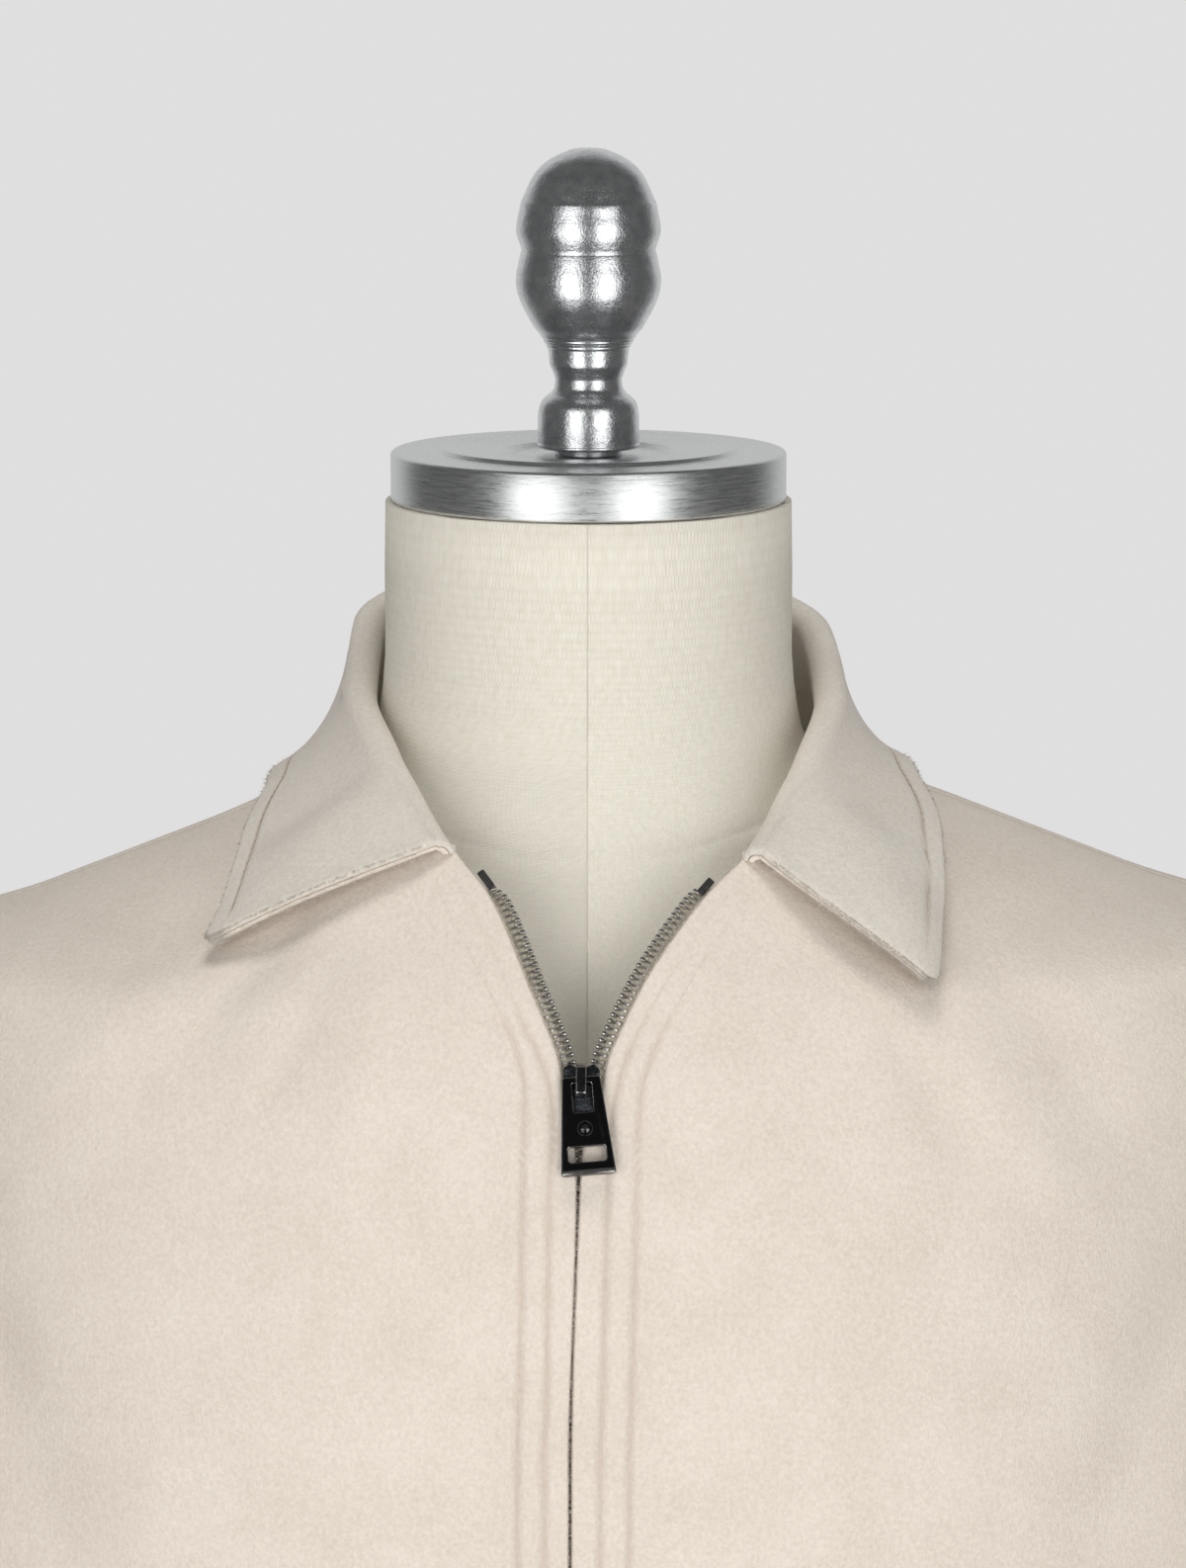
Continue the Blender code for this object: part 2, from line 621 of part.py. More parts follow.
def add_sleeve(name, side, finish):
    outer, first_normal = sleeve_points(side)
    normal = grid_normals(outer, ring=True)
    if np.sum(normal[3] * (outer[3] - outer[3].mean(axis=0))) < 0:
        normal = -normal
    normal[0] = first_normal
    return add_wall(name, outer, outer - normal * WALL, finish, ring=True)


def collar_ways():
    """Way round the neck of each collar row: the panels' own points on the neckline."""
    right, left = np.degrees(neck_turns(-1)), np.degrees(neck_turns(1))
    back = np.linspace(90, 270, BACK_NECK_COLUMNS + 1)
    return np.concatenate([right[:-1], back, 360 - left[::-1][1:]])


def collar_row(station):
    """One section of the collar's middle surface, from the seam over the roll to the edge,
    and its normals up to the end of the roll, the last of them half as long."""
    way, roll = station[0], station[1:4]
    sweep, radius, lean, edge_way, edge_angle, lift, bow = station[4:]
    side = -1 if way < 180 else 1
    azimuth = -radians(way) if side < 0 else radians(360 - way)
    rise = float(neckline(azimuth, side))
    seam, seam_normal = coat_point(azimuth, rise), coat_normal(azimuth, rise)
    seam_up = unit(seam - coat_point(azimuth, rise - SEAM_PROBE))
    start = unit(mixed(seam_up, seam_normal, lean))
    past_corner = (1 - lean) * WALL / 2
    clear = SEAM * (1 + lean) + past_corner * np.dot(seam_normal, start)
    foot = seam - seam_normal * past_corner + start * clear

    edge_azimuth, edge_rise = -radians(edge_way), fan_rise(edge_angle)
    below = coat_point(edge_azimuth, edge_rise)
    edge = below + coat_normal(edge_azimuth, edge_rise) * lift
    edge_run = unit(below - coat_point(edge_azimuth, edge_rise + EDGE_PROBE))

    height = np.linalg.norm(roll - foot)
    upright = smooth_step(height, STAND_LOW, STAND_TALL)
    rising = unit(mixed(start, np.array([0, 0, 1.0]), upright))
    outward = (edge - roll) * np.array([1, 1, 0])
    outward = unit(outward - rising * np.dot(outward, rising))
    stand = [
        hermite(foot, roll, start * height * STAND_PULL, rising * height, step / STAND_STEPS)
        for step in range(STAND_STEPS)
    ]
    turns = np.linspace(0, radians(sweep), FOLD_STEPS + 1)[:, None]
    fold = roll + radius * (outward * (1 - np.cos(turns)) + rising * np.sin(turns))
    fold_normal = rising * np.sin(turns) - outward * np.cos(turns)
    fold_normal[-1] /= 2
    part = np.arange(STAND_STEPS)[:, None] / STAND_STEPS
    in_section = unit(np.cross(np.cross(start, -outward), start))
    foot_normal = unit(mixed(-seam_normal, in_section, lean))
    stand_normal = unit(mixed(foot_normal, -outward, part))
    leaving = outward * sin(radians(sweep)) + rising * cos(radians(sweep))
    drop = np.linalg.norm(edge - fold[-1])
    fall = [
        hermite(fold[-1], edge, leaving * drop, edge_run * drop, part)
        + edge_run * bow * 4 * part * (1 - part)
        for part in np.arange(1, FALL_STEPS + 1) / FALL_STEPS
    ]
    normals = np.concatenate([stand_normal, fold_normal, np.zeros((FALL_STEPS, 3))])
    return np.concatenate([stand, fold, fall]), normals


def collar_points():
    ways = collar_ways()
    stations = np.column_stack([ways, *eased(COLLAR, ways)])
    rows, normals = zip(*[collar_row(station) for station in stations])
    return rested(np.array(rows)), np.array(normals)


def rested(points):
    """Collar points, the ones of the fall that would sink into the coat lifted clear."""
    radius = np.hypot(points[..., 0], points[..., 1])
    azimuth = np.arctan2(points[..., 0], -points[..., 1])
    rise = fan_rise(np.degrees(np.arctan2(points[..., 2] - FAN_Z, radius)))
    base, normal = coat_point(azimuth, rise), coat_normal(azimuth, rise)
    height = np.sum((points - base) * normal, axis=-1, keepdims=True)
    fall = np.zeros_like(height)
    fall[:, STAND_STEPS + FOLD_STEPS :] = 1.0
    short = np.clip((COLLAR_REST - height) / REST_SOFTNESS, -30, 30)
    return points + normal * REST_SOFTNESS * np.log1p(np.exp(short)) * fall


def hermite(start, end, leave, arrive, part):
    square, cube = part * part, part * part * part
    return (
        start * (2 * cube - 3 * square + 1)
        + leave * (cube - 2 * square + part)
        + end * (3 * square - 2 * cube)
        + arrive * (cube - square)
    )


def add_collar(finish):
    middle, rolled = collar_points()
    normal = grid_normals(middle, ring=False)
    if normal[len(middle) // 2, -1, 2] < 0:
        normal = -normal
    normal = unit(rolled + normal * (1 - np.linalg.norm(rolled, axis=-1, keepdims=True)))
    near, far = COLLAR_GAP / 2, COLLAR_GAP / 2 + COLLAR_LAYER
    add_wall("upper_collar", middle + normal * far, middle + normal * near, finish)
    add_wall("under_collar", middle - normal * near, middle - normal * far, finish)


# ------------------------------------------------------------------ zip
def tape_points(side, outer, inner, rise):
    """A tape under a front's first column: its face and back points, and its rise."""
    rows = slice(TAPE_FIRST_ROW, None)
    start, after = inner[rows, :1], inner[rows, 1:2]
    normal = unit(outer[rows, :1] - start)
    run = after - start
    length = np.linalg.norm(run, axis=-1, keepdims=True)
    angle = np.degrees(rise[rows, 0] / FAN_RADIUS)
    past = eased(TAPE_REACH, angle)[0]
    place = np.stack([-past, -past + TAPE_WIDTH / 2, -past + TAPE_WIDTH], -1)[..., None]
    face = start + run * place / length - normal * TAPE_GAP
    return face, face - normal * TAPE_WALL


def at_length(line, length):
    """The point this far along a line of points."""
    steps = np.linalg.norm(np.diff(line, axis=0), axis=-1)
    gone = np.concatenate([[0], np.cumsum(steps)])
    return np.array([np.interp(length, gone, values) for values in line.T])


def add_front(names, side, cloth, tape, metal):
    """A front, the zip tape behind its edge and the stop at the tape's top."""
    azimuth, rise = front_grid(side)
    outer, inner = cloth_wall(azimuth, rise)
    add_wall(names["front"], outer, inner, cloth)
    face, back = tape_points(side, outer, inner, rise)
    add_wall(names["tape"], face, back, tape)
    middle = (face + back)[::-1] / 2
    upper, hidden = (at_length(middle[:, column], STOP_DOWN[side]) for column in (0, 1))
    along = unit(upper - at_length(middle[:, 0], STOP_DOWN[side] + STOP_SIZE[1]))
    out = unit(np.cross(along, hidden - upper))
    out = out * np.sign(out @ (face - back)[-1, 0])
    across = np.cross(along, out)
    centre = upper - along * STOP_SIZE[1] / 2 - across * side * (STOP_GAP + STOP_SIZE[0] / 2)
    add_box(names["stop"], STOP_SIZE, frame_of(across, along, out, centre), metal, STOP_BEVEL)


def surface_frame(azimuth, rise, out=0.0):
    """A frame on the shell: X across, Y up the cloth, Z out of it."""
    origin, normal = coat_point(azimuth, rise), coat_normal(azimuth, rise)
    up = unit(coat_point(azimuth, rise + 0.001) - origin)
    across = np.cross(up, normal)
    return frame_of(across, up, normal, origin + normal * out)


def frame_of(across, up, out, origin):
    frame = Matrix.Identity(4)
    for column, axis in enumerate((across, up, out)):
        for row in range(3):
            frame[row][column] = axis[row]
    frame.translation = Vector(origin)
    return frame


def box_mesh(name, low, high):
    """A closed box between two corners, as mesh data."""
    shape = bmesh.new()
    bmesh.ops.create_cube(shape, size=1.0)
    for vertex in shape.verts:
        for axis in range(3):
            vertex.co[axis] = high[axis] if vertex.co[axis] > 0 else low[axis]
    mesh = bpy.data.meshes.new(name)
    shape.to_mesh(mesh)
    shape.free()
    return mesh


def add_box(name, size, frame, finish, bevel):
    half = [value / 2 for value in size]
    mesh = box_mesh(name, [-value for value in half], half)
    mesh.materials.append(finish)
    made = bpy.data.objects.new(name, mesh)
    bpy.context.scene.collection.objects.link(made)
    made.matrix_world = frame
    add_bevel(made, bevel)


def add_bevel(made, width):
    bevel = made.modifiers.new("rounded edges", "BEVEL")
    bevel.width = width
    bevel.segments = 1
    bevel.limit_method = "ANGLE"
    bevel.angle_limit = radians(40)


def add_helper(name, mesh, frame):
    """A shape used only by a Boolean."""
    made = bpy.data.objects.new(name, mesh)
    bpy.context.scene.collection.objects.link(made)
    made.matrix_world = frame
    made.hide_render = True
    made.display_type = "WIRE"
    return made


def add_boolean(made, helper, operation):
    cut = made.modifiers.new(helper.name, "BOOLEAN")
    cut.operation = operation
    cut.object = helper


def zip_frame(out=0.0):
    rise = fan_rise(SLIDER_ANGLE)
    return surface_frame(azimuth_at(SLIDER_X, rise), rise, out)


def prism_mesh(name, outline, low, high, place):
    """A polygon drawn out between two distances. place maps (a, b, distance) to x, y, z."""
    shape = bmesh.new()
    lower = [shape.verts.new(place(a, b, low)) for a, b in outline]
    upper = [shape.verts.new(place(a, b, high)) for a, b in outline]
    count = len(outline)
    for step in range(count):
        after = (step + 1) % count
        shape.faces.new((lower[step], lower[after], upper[after], upper[step]))
    shape.faces.new(list(reversed(lower)))
    shape.faces.new(upper)
    bmesh.ops.recalc_face_normals(shape, faces=shape.faces)
    mesh = bpy.data.meshes.new(name)
    shape.to_mesh(mesh)
    shape.free()
    return mesh


def add_slider(finish):
    """An I-shaped body between the tapes, with the bridge on its face."""
    frame = zip_frame()
    shape = bmesh.new()
    rings = []
    ends = ((SLIDER_UP, SLIDER_HALF_TOP), (-SLIDER_DOWN, SLIDER_HALF_FOOT))
    for along, half in ends:
        section = (
            (-half, SLIDER_BACK),
            (half, SLIDER_BACK),
            (half, CHANNEL_IN),
            (WEB_HALF, CHANNEL_IN),
            (WEB_HALF, CHANNEL_OUT),
            (half, CHANNEL_OUT),
            (half, SLIDER_FACE),
            (-half, SLIDER_FACE),
            (-half, CHANNEL_OUT),
            (-WEB_HALF, CHANNEL_OUT),
            (-WEB_HALF, CHANNEL_IN),
            (-half, CHANNEL_IN),
        )
        rings.append([shape.verts.new((x, along, z)) for x, z in section])
    count = len(rings[0])
    for step in range(count):
        after = (step + 1) % count
        shape.faces.new((rings[0][step], rings[0][after], rings[1][after], rings[1][step]))
    shape.faces.new(rings[0])
    shape.faces.new(list(reversed(rings[1])))
    bmesh.ops.recalc_face_normals(shape, faces=shape.faces)
    mesh = bpy.data.meshes.new("zip_slider")
    shape.to_mesh(mesh)
    shape.free()
    mesh.materials.append(finish)
    slider = bpy.data.objects.new("zip_slider", mesh)
    bpy.context.scene.collection.objects.link(slider)
    slider.matrix_world = frame

    top, rim = SLIDER_FACE + BRIDGE_HEIGHT, BRIDGE_METAL
    sunk = SLIDER_FACE - BRIDGE_SUNK
    arch = (
        (BRIDGE_UP, sunk),
        (BRIDGE_UP, top - BRIDGE_CHAMFER),
        (BRIDGE_UP - BRIDGE_CHAMFER, top),
        (-BRIDGE_DOWN + BRIDGE_CHAMFER, top),
        (-BRIDGE_DOWN, top - BRIDGE_CHAMFER),
        (-BRIDGE_DOWN, sunk),
        (-BRIDGE_DOWN + rim, sunk),
        (-BRIDGE_DOWN + rim, top - rim),
        (BRIDGE_UP - rim, top - rim),
        (BRIDGE_UP - rim, sunk),
    )
    bridge_mesh = prism_mesh(
        "bridge", arch, -BRIDGE_HALF, BRIDGE_HALF, lambda along, out, x: (x, along, out)
    )
    add_boolean(slider, add_helper("bridge", bridge_mesh, frame), "UNION")


def add_pull_tab(finish):
    """The tab hangs from the bridge. Its origin is on the hinge line."""
    frame = zip_frame(TAB_AXIS_OUT) @ Matrix.Rotation(radians(TAB_TURN), 4, "Z")
    outline = (
        (-TAB_HALF_TOP, -TAB_TOP),
        (-TAB_HALF_FOOT, -TAB_FOOT),
        (TAB_HALF_FOOT, -TAB_FOOT),
        (TAB_HALF_TOP, -TAB_TOP),
    )
    half = TAB_THICK / 2
    mesh = prism_mesh("pull_tab", outline, -half, half, lambda x, y, z: (x, y, z))
    mesh.materials.append(finish)
    tab = bpy.data.objects.new("pull_tab", mesh)
    bpy.context.scene.collection.objects.link(tab)
    tab.matrix_world = frame
    for name, (start, end, wide) in (("window", TAB_WINDOW), ("slot", TAB_SLOT)):
        hole = box_mesh(name, (-wide, -end, -half * 2), (wide, -start, half * 2))
        add_boolean(tab, add_helper(name, hole, frame), "DIFFERENCE")


# ------------------------------------------------------------------ dress form
def add_form(finish):
    azimuth = np.linspace(0, 2 * pi, FORM_ROUND, endpoint=False)
    rise = np.concatenate([np.array(FORM_LOW_HEIGHTS) - FAN_Z, fan_rise(FORM_FAN_ANGLES)])
    rings = len(rise)
    grid = fan_point(FORM_SECTIONS, azimuth[None, :], rise[:, None], FORM_TOP_Z)
    grid[-1, :, 2] = FORM_TOP_Z
    points = grid.reshape(-1, 3)
    faces = [list(range(FORM_ROUND)), list(range((rings - 1) * FORM_ROUND, len(points)))]
    for ring in range(rings - 1):
        for step in range(FORM_ROUND):
            after = (step + 1) % FORM_ROUND
            low, high = ring * FORM_ROUND, (ring + 1) * FORM_ROUND
            faces.append([low + step, low + after, high + after, high + step])
    return add_mesh("form_torso", points, faces, finish)


# ------------------------------------------------------------------ the whole
def clear_scene():
    for found in list(bpy.data.objects):
        bpy.data.objects.remove(found, do_unlink=True)


def main():
    clear_scene()
    wool = material("cream wool", (0.74, 0.68, 0.60), 0.95)
    linen = material("linen cover", (0.78, 0.74, 0.66), 0.9)
    tape = material("cream tape", (0.80, 0.74, 0.62), 0.85)
    steel = material("gunmetal", (0.05, 0.05, 0.05), 0.25, 1.0)
    aluminium = material("cast aluminium", (0.62, 0.63, 0.64), 0.35, 1.0)
    iron = material("painted iron", (0.30, 0.30, 0.31), 0.5, 0.6)

    for word, side in (("right", -1), ("left", 1)):
        names = {"front": f"front_{word}", "tape": f"zip_tape_{word}", "stop": f"zip_stop_{word}"}
        add_front(names, side, wool, tape, steel)
    add_wall("back", *cloth_wall(*back_grid()), wool)
    add_sleeve("sleeve_right", -1, wool)
    add_sleeve("sleeve_left", 1, wool)
    add_collar(wool)

    add_slider(steel)
    add_pull_tab(steel)
    tape_foot = mixed(HEM_Z - FAN_Z, FRONT_LEVEL, TAPE_FIRST_ROW / ROWS_LOW)
    foot_rise = tape_foot - ZIP_BOX_SIZE[1] / 2 - SEAM
    box_x = sum(eased(FRONT_EDGES, np.degrees(foot_rise / FAN_RADIUS))) / 2
    box_out = -WALL - SEAM - ZIP_BOX_SIZE[2] / 2
    box_frame = surface_frame(azimuth_at(box_x, foot_rise), foot_rise, box_out)
    add_box("zip_box", ZIP_BOX_SIZE, box_frame, steel, ZIP_BOX_BEVEL)

    add_form(linen)
    add_turned("neck_cap", CAP_PROFILE, CAP_BOTTOM_Z, aluminium)
    add_turned("finial", FINIAL_PROFILE, FINIAL_SEAT_Z, aluminium)
    pole_top = FORM_BOTTOM_Z - SEAM
    pole = ((POLE_RADIUS, pole_top), (POLE_RADIUS, BASE_TOP_Z + SEAM))
    add_turned("pole", pole, 0.0, iron)
    add_turned("base", BASE_PROFILE, 0.0, iron)


main()
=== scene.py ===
# %% [markdown]
# # A zip-front wool overcoat on a dress form
#
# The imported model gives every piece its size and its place. This lesson dresses that model. It
# makes the cloth thin and soft, adds the zip's teeth and the stitches, and gives each surface its
# finish. All lengths are in metres. The coat faces -Y, up is +Z, and the wearer's left is +X.

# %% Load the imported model
from math import cos, pi, radians, sin

import bmesh
import bpy
import numpy as np
from mathutils import Matrix, Vector


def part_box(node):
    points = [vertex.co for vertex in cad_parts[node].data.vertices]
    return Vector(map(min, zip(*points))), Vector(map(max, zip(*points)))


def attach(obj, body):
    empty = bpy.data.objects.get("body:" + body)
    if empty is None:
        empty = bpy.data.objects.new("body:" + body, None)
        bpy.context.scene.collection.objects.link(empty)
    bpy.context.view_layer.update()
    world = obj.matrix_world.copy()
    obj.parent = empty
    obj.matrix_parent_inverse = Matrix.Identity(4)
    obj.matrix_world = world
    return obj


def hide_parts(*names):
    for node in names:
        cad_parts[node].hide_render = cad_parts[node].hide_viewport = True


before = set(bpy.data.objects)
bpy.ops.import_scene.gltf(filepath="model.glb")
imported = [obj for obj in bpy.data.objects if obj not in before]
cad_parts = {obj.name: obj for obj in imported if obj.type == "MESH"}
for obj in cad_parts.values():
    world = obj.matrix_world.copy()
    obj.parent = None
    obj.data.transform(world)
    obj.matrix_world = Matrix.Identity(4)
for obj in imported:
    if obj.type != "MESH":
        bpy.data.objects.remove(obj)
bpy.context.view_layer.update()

# %% [markdown]
# ## Studio
#
# Pale cloth and bright metal need opposite things from their light. The cloth wants one large soft
# source, and the metal wants dark surroundings with a few bright shapes to mirror. Two tall soft
# boxes, one on each side of the camera, serve both: they light the chest evenly and show in the
# metal as two bright bars. A small light above lights the shoulders, and a low fill keeps the
# lower chest from falling darker than the upper. The metal mirrors neither of these two. The
# surround is pale behind the form and dark behind the camera. Only the pale half is ever seen
# directly.

# %% Surround and soft boxes
PALE = 0.737  # linear value of the plain backdrop
DARK_FRONT, MIRRORED_BACK = 0.12, 0.66  # what metal mirrors of the room
MIRROR_FROM, MIRROR_TO = 0.42, 0.84  # how far back the mirrored room turns from dark to pale
AMBIENT = 0.17  # what the room lends to cloth
SOFT_BOX_WATTS, TOP_WATTS, FILL_WATTS = 25.0, 17.5, 12.0
SOFT_BOX_X, SOFT_BOX_Y, SOFT_BOX_Z, SOFT_BOX_SIZE = 1.15, -2.05, 1.18, (1.35, 2.8)
TOP_PLACE, TOP_TARGET, TOP_SIZE = (0, -0.15, 3.3), (0, 0, 1.40), (0.9, 0.5)
FILL_PLACE, FILL_TARGET, FILL_SIZE = (0, -2.0, 0.75), (0, 0, 1.10), (2.4, 0.8)

scene = bpy.context.scene
scene.view_settings.view_transform = "Standard"


def add_node(tree, kind, settings=None, **inputs):
    """A shader node, with its settings and its inputs given as values or as sockets."""
    made = tree.nodes.new(kind)
    for name, value in (settings or {}).items():
        setattr(made, name, value)
    for name, value in inputs.items():
        socket = made.inputs[name.replace("_", " ")]
        if isinstance(value, bpy.types.NodeSocket):
            tree.links.new(value, socket)
        else:
            socket.default_value = value
    return made


def calc(tree, operation, *values):
    """A math node's result."""
    made = tree.nodes.new("ShaderNodeMath")
    made.operation = operation
    for socket, value in zip(made.inputs, values):
        if isinstance(value, bpy.types.NodeSocket):
            tree.links.new(value, socket)
        else:
            socket.default_value = value
    return made.outputs[0]


world = bpy.data.worlds.new("studio")
world.use_nodes = True
tree = world.node_tree
tree.nodes.clear()
toward = add_node(tree, "ShaderNodeTexCoord").outputs["Generated"]
depth = add_node(tree, "ShaderNodeSeparateXYZ", Vector=toward).outputs["Y"]
mirrored = add_node(
    tree, "ShaderNodeMapRange", {"interpolation_type": "SMOOTHSTEP"},
    Value=depth, From_Min=MIRROR_FROM, From_Max=MIRROR_TO, To_Min=DARK_FRONT, To_Max=MIRRORED_BACK,
).outputs[0]
light_path = add_node(tree, "ShaderNodeLightPath")
glossy = light_path.outputs["Is Glossy Ray"]
room = calc(tree, "ADD", calc(tree, "MULTIPLY", glossy, mirrored),
            calc(tree, "MULTIPLY", calc(tree, "SUBTRACT", 1.0, glossy), AMBIENT))
seen = add_node(tree, "ShaderNodeBackground", Color=(PALE, PALE, PALE, 1))
lit = add_node(tree, "ShaderNodeBackground", Color=room)
either = add_node(tree, "ShaderNodeMixShader", Fac=light_path.outputs["Is Camera Ray"])
tree.links.new(lit.outputs[0], either.inputs[1])
tree.links.new(seen.outputs[0], either.inputs[2])
add_node(tree, "ShaderNodeOutputWorld", Surface=either.outputs[0])
scene.world = world


def soft_box(name, place, target, size, watts):
    """A rectangular light that faces a target."""
    light = bpy.data.lights.new(name, "AREA")
    light.shape = "RECTANGLE"
    light.size, light.size_y = size
    light.energy = watts
    made = bpy.data.objects.new(name, light)
    scene.collection.objects.link(made)
    made.location = place
    made.rotation_euler = (Vector(target) - Vector(place)).to_track_quat("-Z", "Y").to_euler()
    made.visible_camera = False
    return made


for side in (-1, 1):
    box_place = (side * SOFT_BOX_X, SOFT_BOX_Y, SOFT_BOX_Z)
    soft_box(f"soft_box_{side}", box_place, (0, 0, SOFT_BOX_Z), SOFT_BOX_SIZE, SOFT_BOX_WATTS)
top_light = soft_box("top_light", TOP_PLACE, TOP_TARGET, TOP_SIZE, TOP_WATTS)
fill_light = soft_box("fill_light", FILL_PLACE, FILL_TARGET, FILL_SIZE, FILL_WATTS)
for made in (top_light, fill_light):
    made.visible_glossy = False  # or metal would show them as more bright bars
print("soft boxes at 30 degrees on either side of the camera, a light above and a fill below")

# %% Camera
# It stands 1.6 m in front of the neck and looks down on it by ten degrees through a long lens.
CAMERA_PLACE = (0.001375, -1.57496, 1.75327)
CAMERA_TILT = 10.15  # degrees below level
SENSOR_MM, LENS_MM = 36.0, 118.83
camera = bpy.data.objects.new("camera", bpy.data.cameras.new("camera"))
camera.data.sensor_width, camera.data.lens = SENSOR_MM, LENS_MM
camera.location = CAMERA_PLACE
camera.rotation_euler = (radians(90 - CAMERA_TILT), 0, 0)
scene.collection.objects.link(camera)
scene.camera = camera
print("camera at", CAMERA_PLACE)

# %% [markdown]
# ## Small helpers
#
# The coat is worked out from short tables of sizes, so it needs a way to read a table smoothly. A
# plain spline would swing past the values between two rows. This one takes the harmonic mean of
# the slopes instead, so cloth never bulges where the table says it doesn't.

# %% Reading tables and mixing
def eased(rows, at):
    """Each column of a table, read at a position in its first column, with no overshoot."""
    rows = np.asarray(rows, float)
    at = np.asarray(at, float)
    step = np.diff(rows[:, 0])
    position = np.clip(at, rows[0, 0], rows[-1, 0])
    cell = np.clip(np.searchsorted(rows[:, 0], position, side="right") - 1, 0, len(step) - 1)
    part = (position - rows[cell, 0]) / step[cell]
    out = []
    for column in rows.T[1:]:
        slope = np.diff(column) / step
        tangent = np.zeros_like(column)
        tangent[0], tangent[-1] = slope[0], slope[-1]
        same = slope[:-1] * slope[1:] > 0
        safe = np.where(same, slope[:-1] * slope[1:], 1.0)
        tangent[1:-1] = np.where(same, 2 * safe / np.where(same, slope[:-1] + slope[1:], 1), 0)
        near, far = column[cell], column[cell + 1]
        rise_near, rise_far = tangent[cell] * step[cell], tangent[cell + 1] * step[cell]
        out.append(
            near * (1 + 2 * part) * (1 - part) ** 2
            + rise_near * part * (1 - part) ** 2
            + far * part**2 * (3 - 2 * part)
            - rise_far * part**2 * (1 - part)
        )
    return out


def smooth_step(value, low, high):
    part = np.clip((np.asarray(value, float) - low) / (high - low), 0, 1)
    return part * part * (3 - 2 * part)


def unit(vectors):
    return vectors / np.linalg.norm(vectors, axis=-1, keepdims=True)


def mixed(start, end, part):
    return start + (end - start) * part


def hermite(start, end, leave, arrive, part):
    square, cube = part * part, part * part * part
    return (
        start * (2 * cube - 3 * square + 1)
        + leave * (cube - 2 * square + part)
        + end * (3 * square - 2 * cube)
        + arrive * (cube - square)
    )


print("half way between rows 0 and 1 of a steady table:", eased([(0, 1), (1, 2), (2, 3)], 0.5)[0])

# %% [markdown]
# ## The coat's shell
#
# Worn cloth is one smooth surface before it is panels. The shell is that surface: a stack of
# squared ovals, with drape folds that deepen towards the hem. A point on it has an azimuth, which
# is 0 at the front and positive to the wearer's left, and a rise, which is the cloth's own length
# above the fan's height. Above that height the lines of equal rise turn over the shoulders like
# the ribs of a fan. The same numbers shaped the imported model, so the thin cloth lies on it.

# %% Shell tables
WALL, SEAM = 0.0025, 0.0003
HEM_Z, FAN_Z, FAN_RADIUS, NECK_TOP = 0.600, 1.300, 0.190, 1.4955
FAN_NEAREST, FAN_FURTHEST, HALVINGS = 0.02, 0.50, 27
ARM_REACH, NECK_REACH = 0.220, 0.086

# height, half width, front depth, back depth, squareness
COAT_SECTIONS = (
    (0.560, 0.2520, 0.1580, 0.1600, 2.20),
    (0.750, 0.2430, 0.1500, 0.1520, 2.20),
    (0.950, 0.2340, 0.1440, 0.1460, 2.20),
    (1.100, 0.2270, 0.1430, 0.1340, 2.25),
    (1.200, 0.2240, 0.1480, 0.1320, 2.30),
    (1.300, 0.2220, 0.1500, 0.1350, 2.25),
    (1.360, 0.2225, 0.1430, 0.1330, 2.10),
    (1.400, 0.2250, 0.1290, 0.1230, 1.95),
    (1.4245, 0.2240, 0.1170, 0.1120, 1.80),
    (1.445, 0.1710, 0.1060, 0.1010, 1.65),
    (1.465, 0.1190, 0.0945, 0.0900, 1.65),
    (1.480, 0.0800, 0.0835, 0.0820, 1.80),
    (1.490, 0.0700, 0.0760, 0.0760, 1.90),
)
FOLD_TOP, FOLD_DEPTH, FOLD_MEAN = 1.150, 0.0110, 0.45
# azimuth in degrees, strength, width in degrees
FOLDS = (
    (-152, 0.9, 13),
    (-118, 1.0, 12),
    (-74, 0.8, 13),
    (-38, 0.6, 11),
    (33, 0.7, 12),
    (70, 0.9, 12),
    (112, 1.0, 13),
    (149, 0.8, 12),
)

# The wearer's right shoulder hangs lower, past a distance from the middle and above a height.
SHOULDER_DROP = 0.0058
DROP_X, DROP_Z = (0.060, 0.118), (1.300, 1.420)


# %% Points on the shell
def drape(azimuth, height):
    """How far the drape folds push the cloth out."""
    degrees = np.degrees(azimuth)
    total = 0.0
    for centre, strength, width in FOLDS:
        turn = (degrees - centre + 180) % 360 - 180
        total = total + strength * np.exp(-((turn / width) ** 2))
    return FOLD_DEPTH * (total - FOLD_MEAN) * smooth_step(-height, -FOLD_TOP, -HEM_Z)


def reach(sections, azimuth, height):
    """Distance of a shell from the axis, at an azimuth and a height."""
    width, front, back, square = eased(sections, height)
    across, along = np.abs(np.sin(azimuth)), np.cos(azimuth)
    depth = np.where(along > 0, front, back)
    return ((across / width) ** square + (np.abs(along) / depth) ** square) ** (-1 / square)


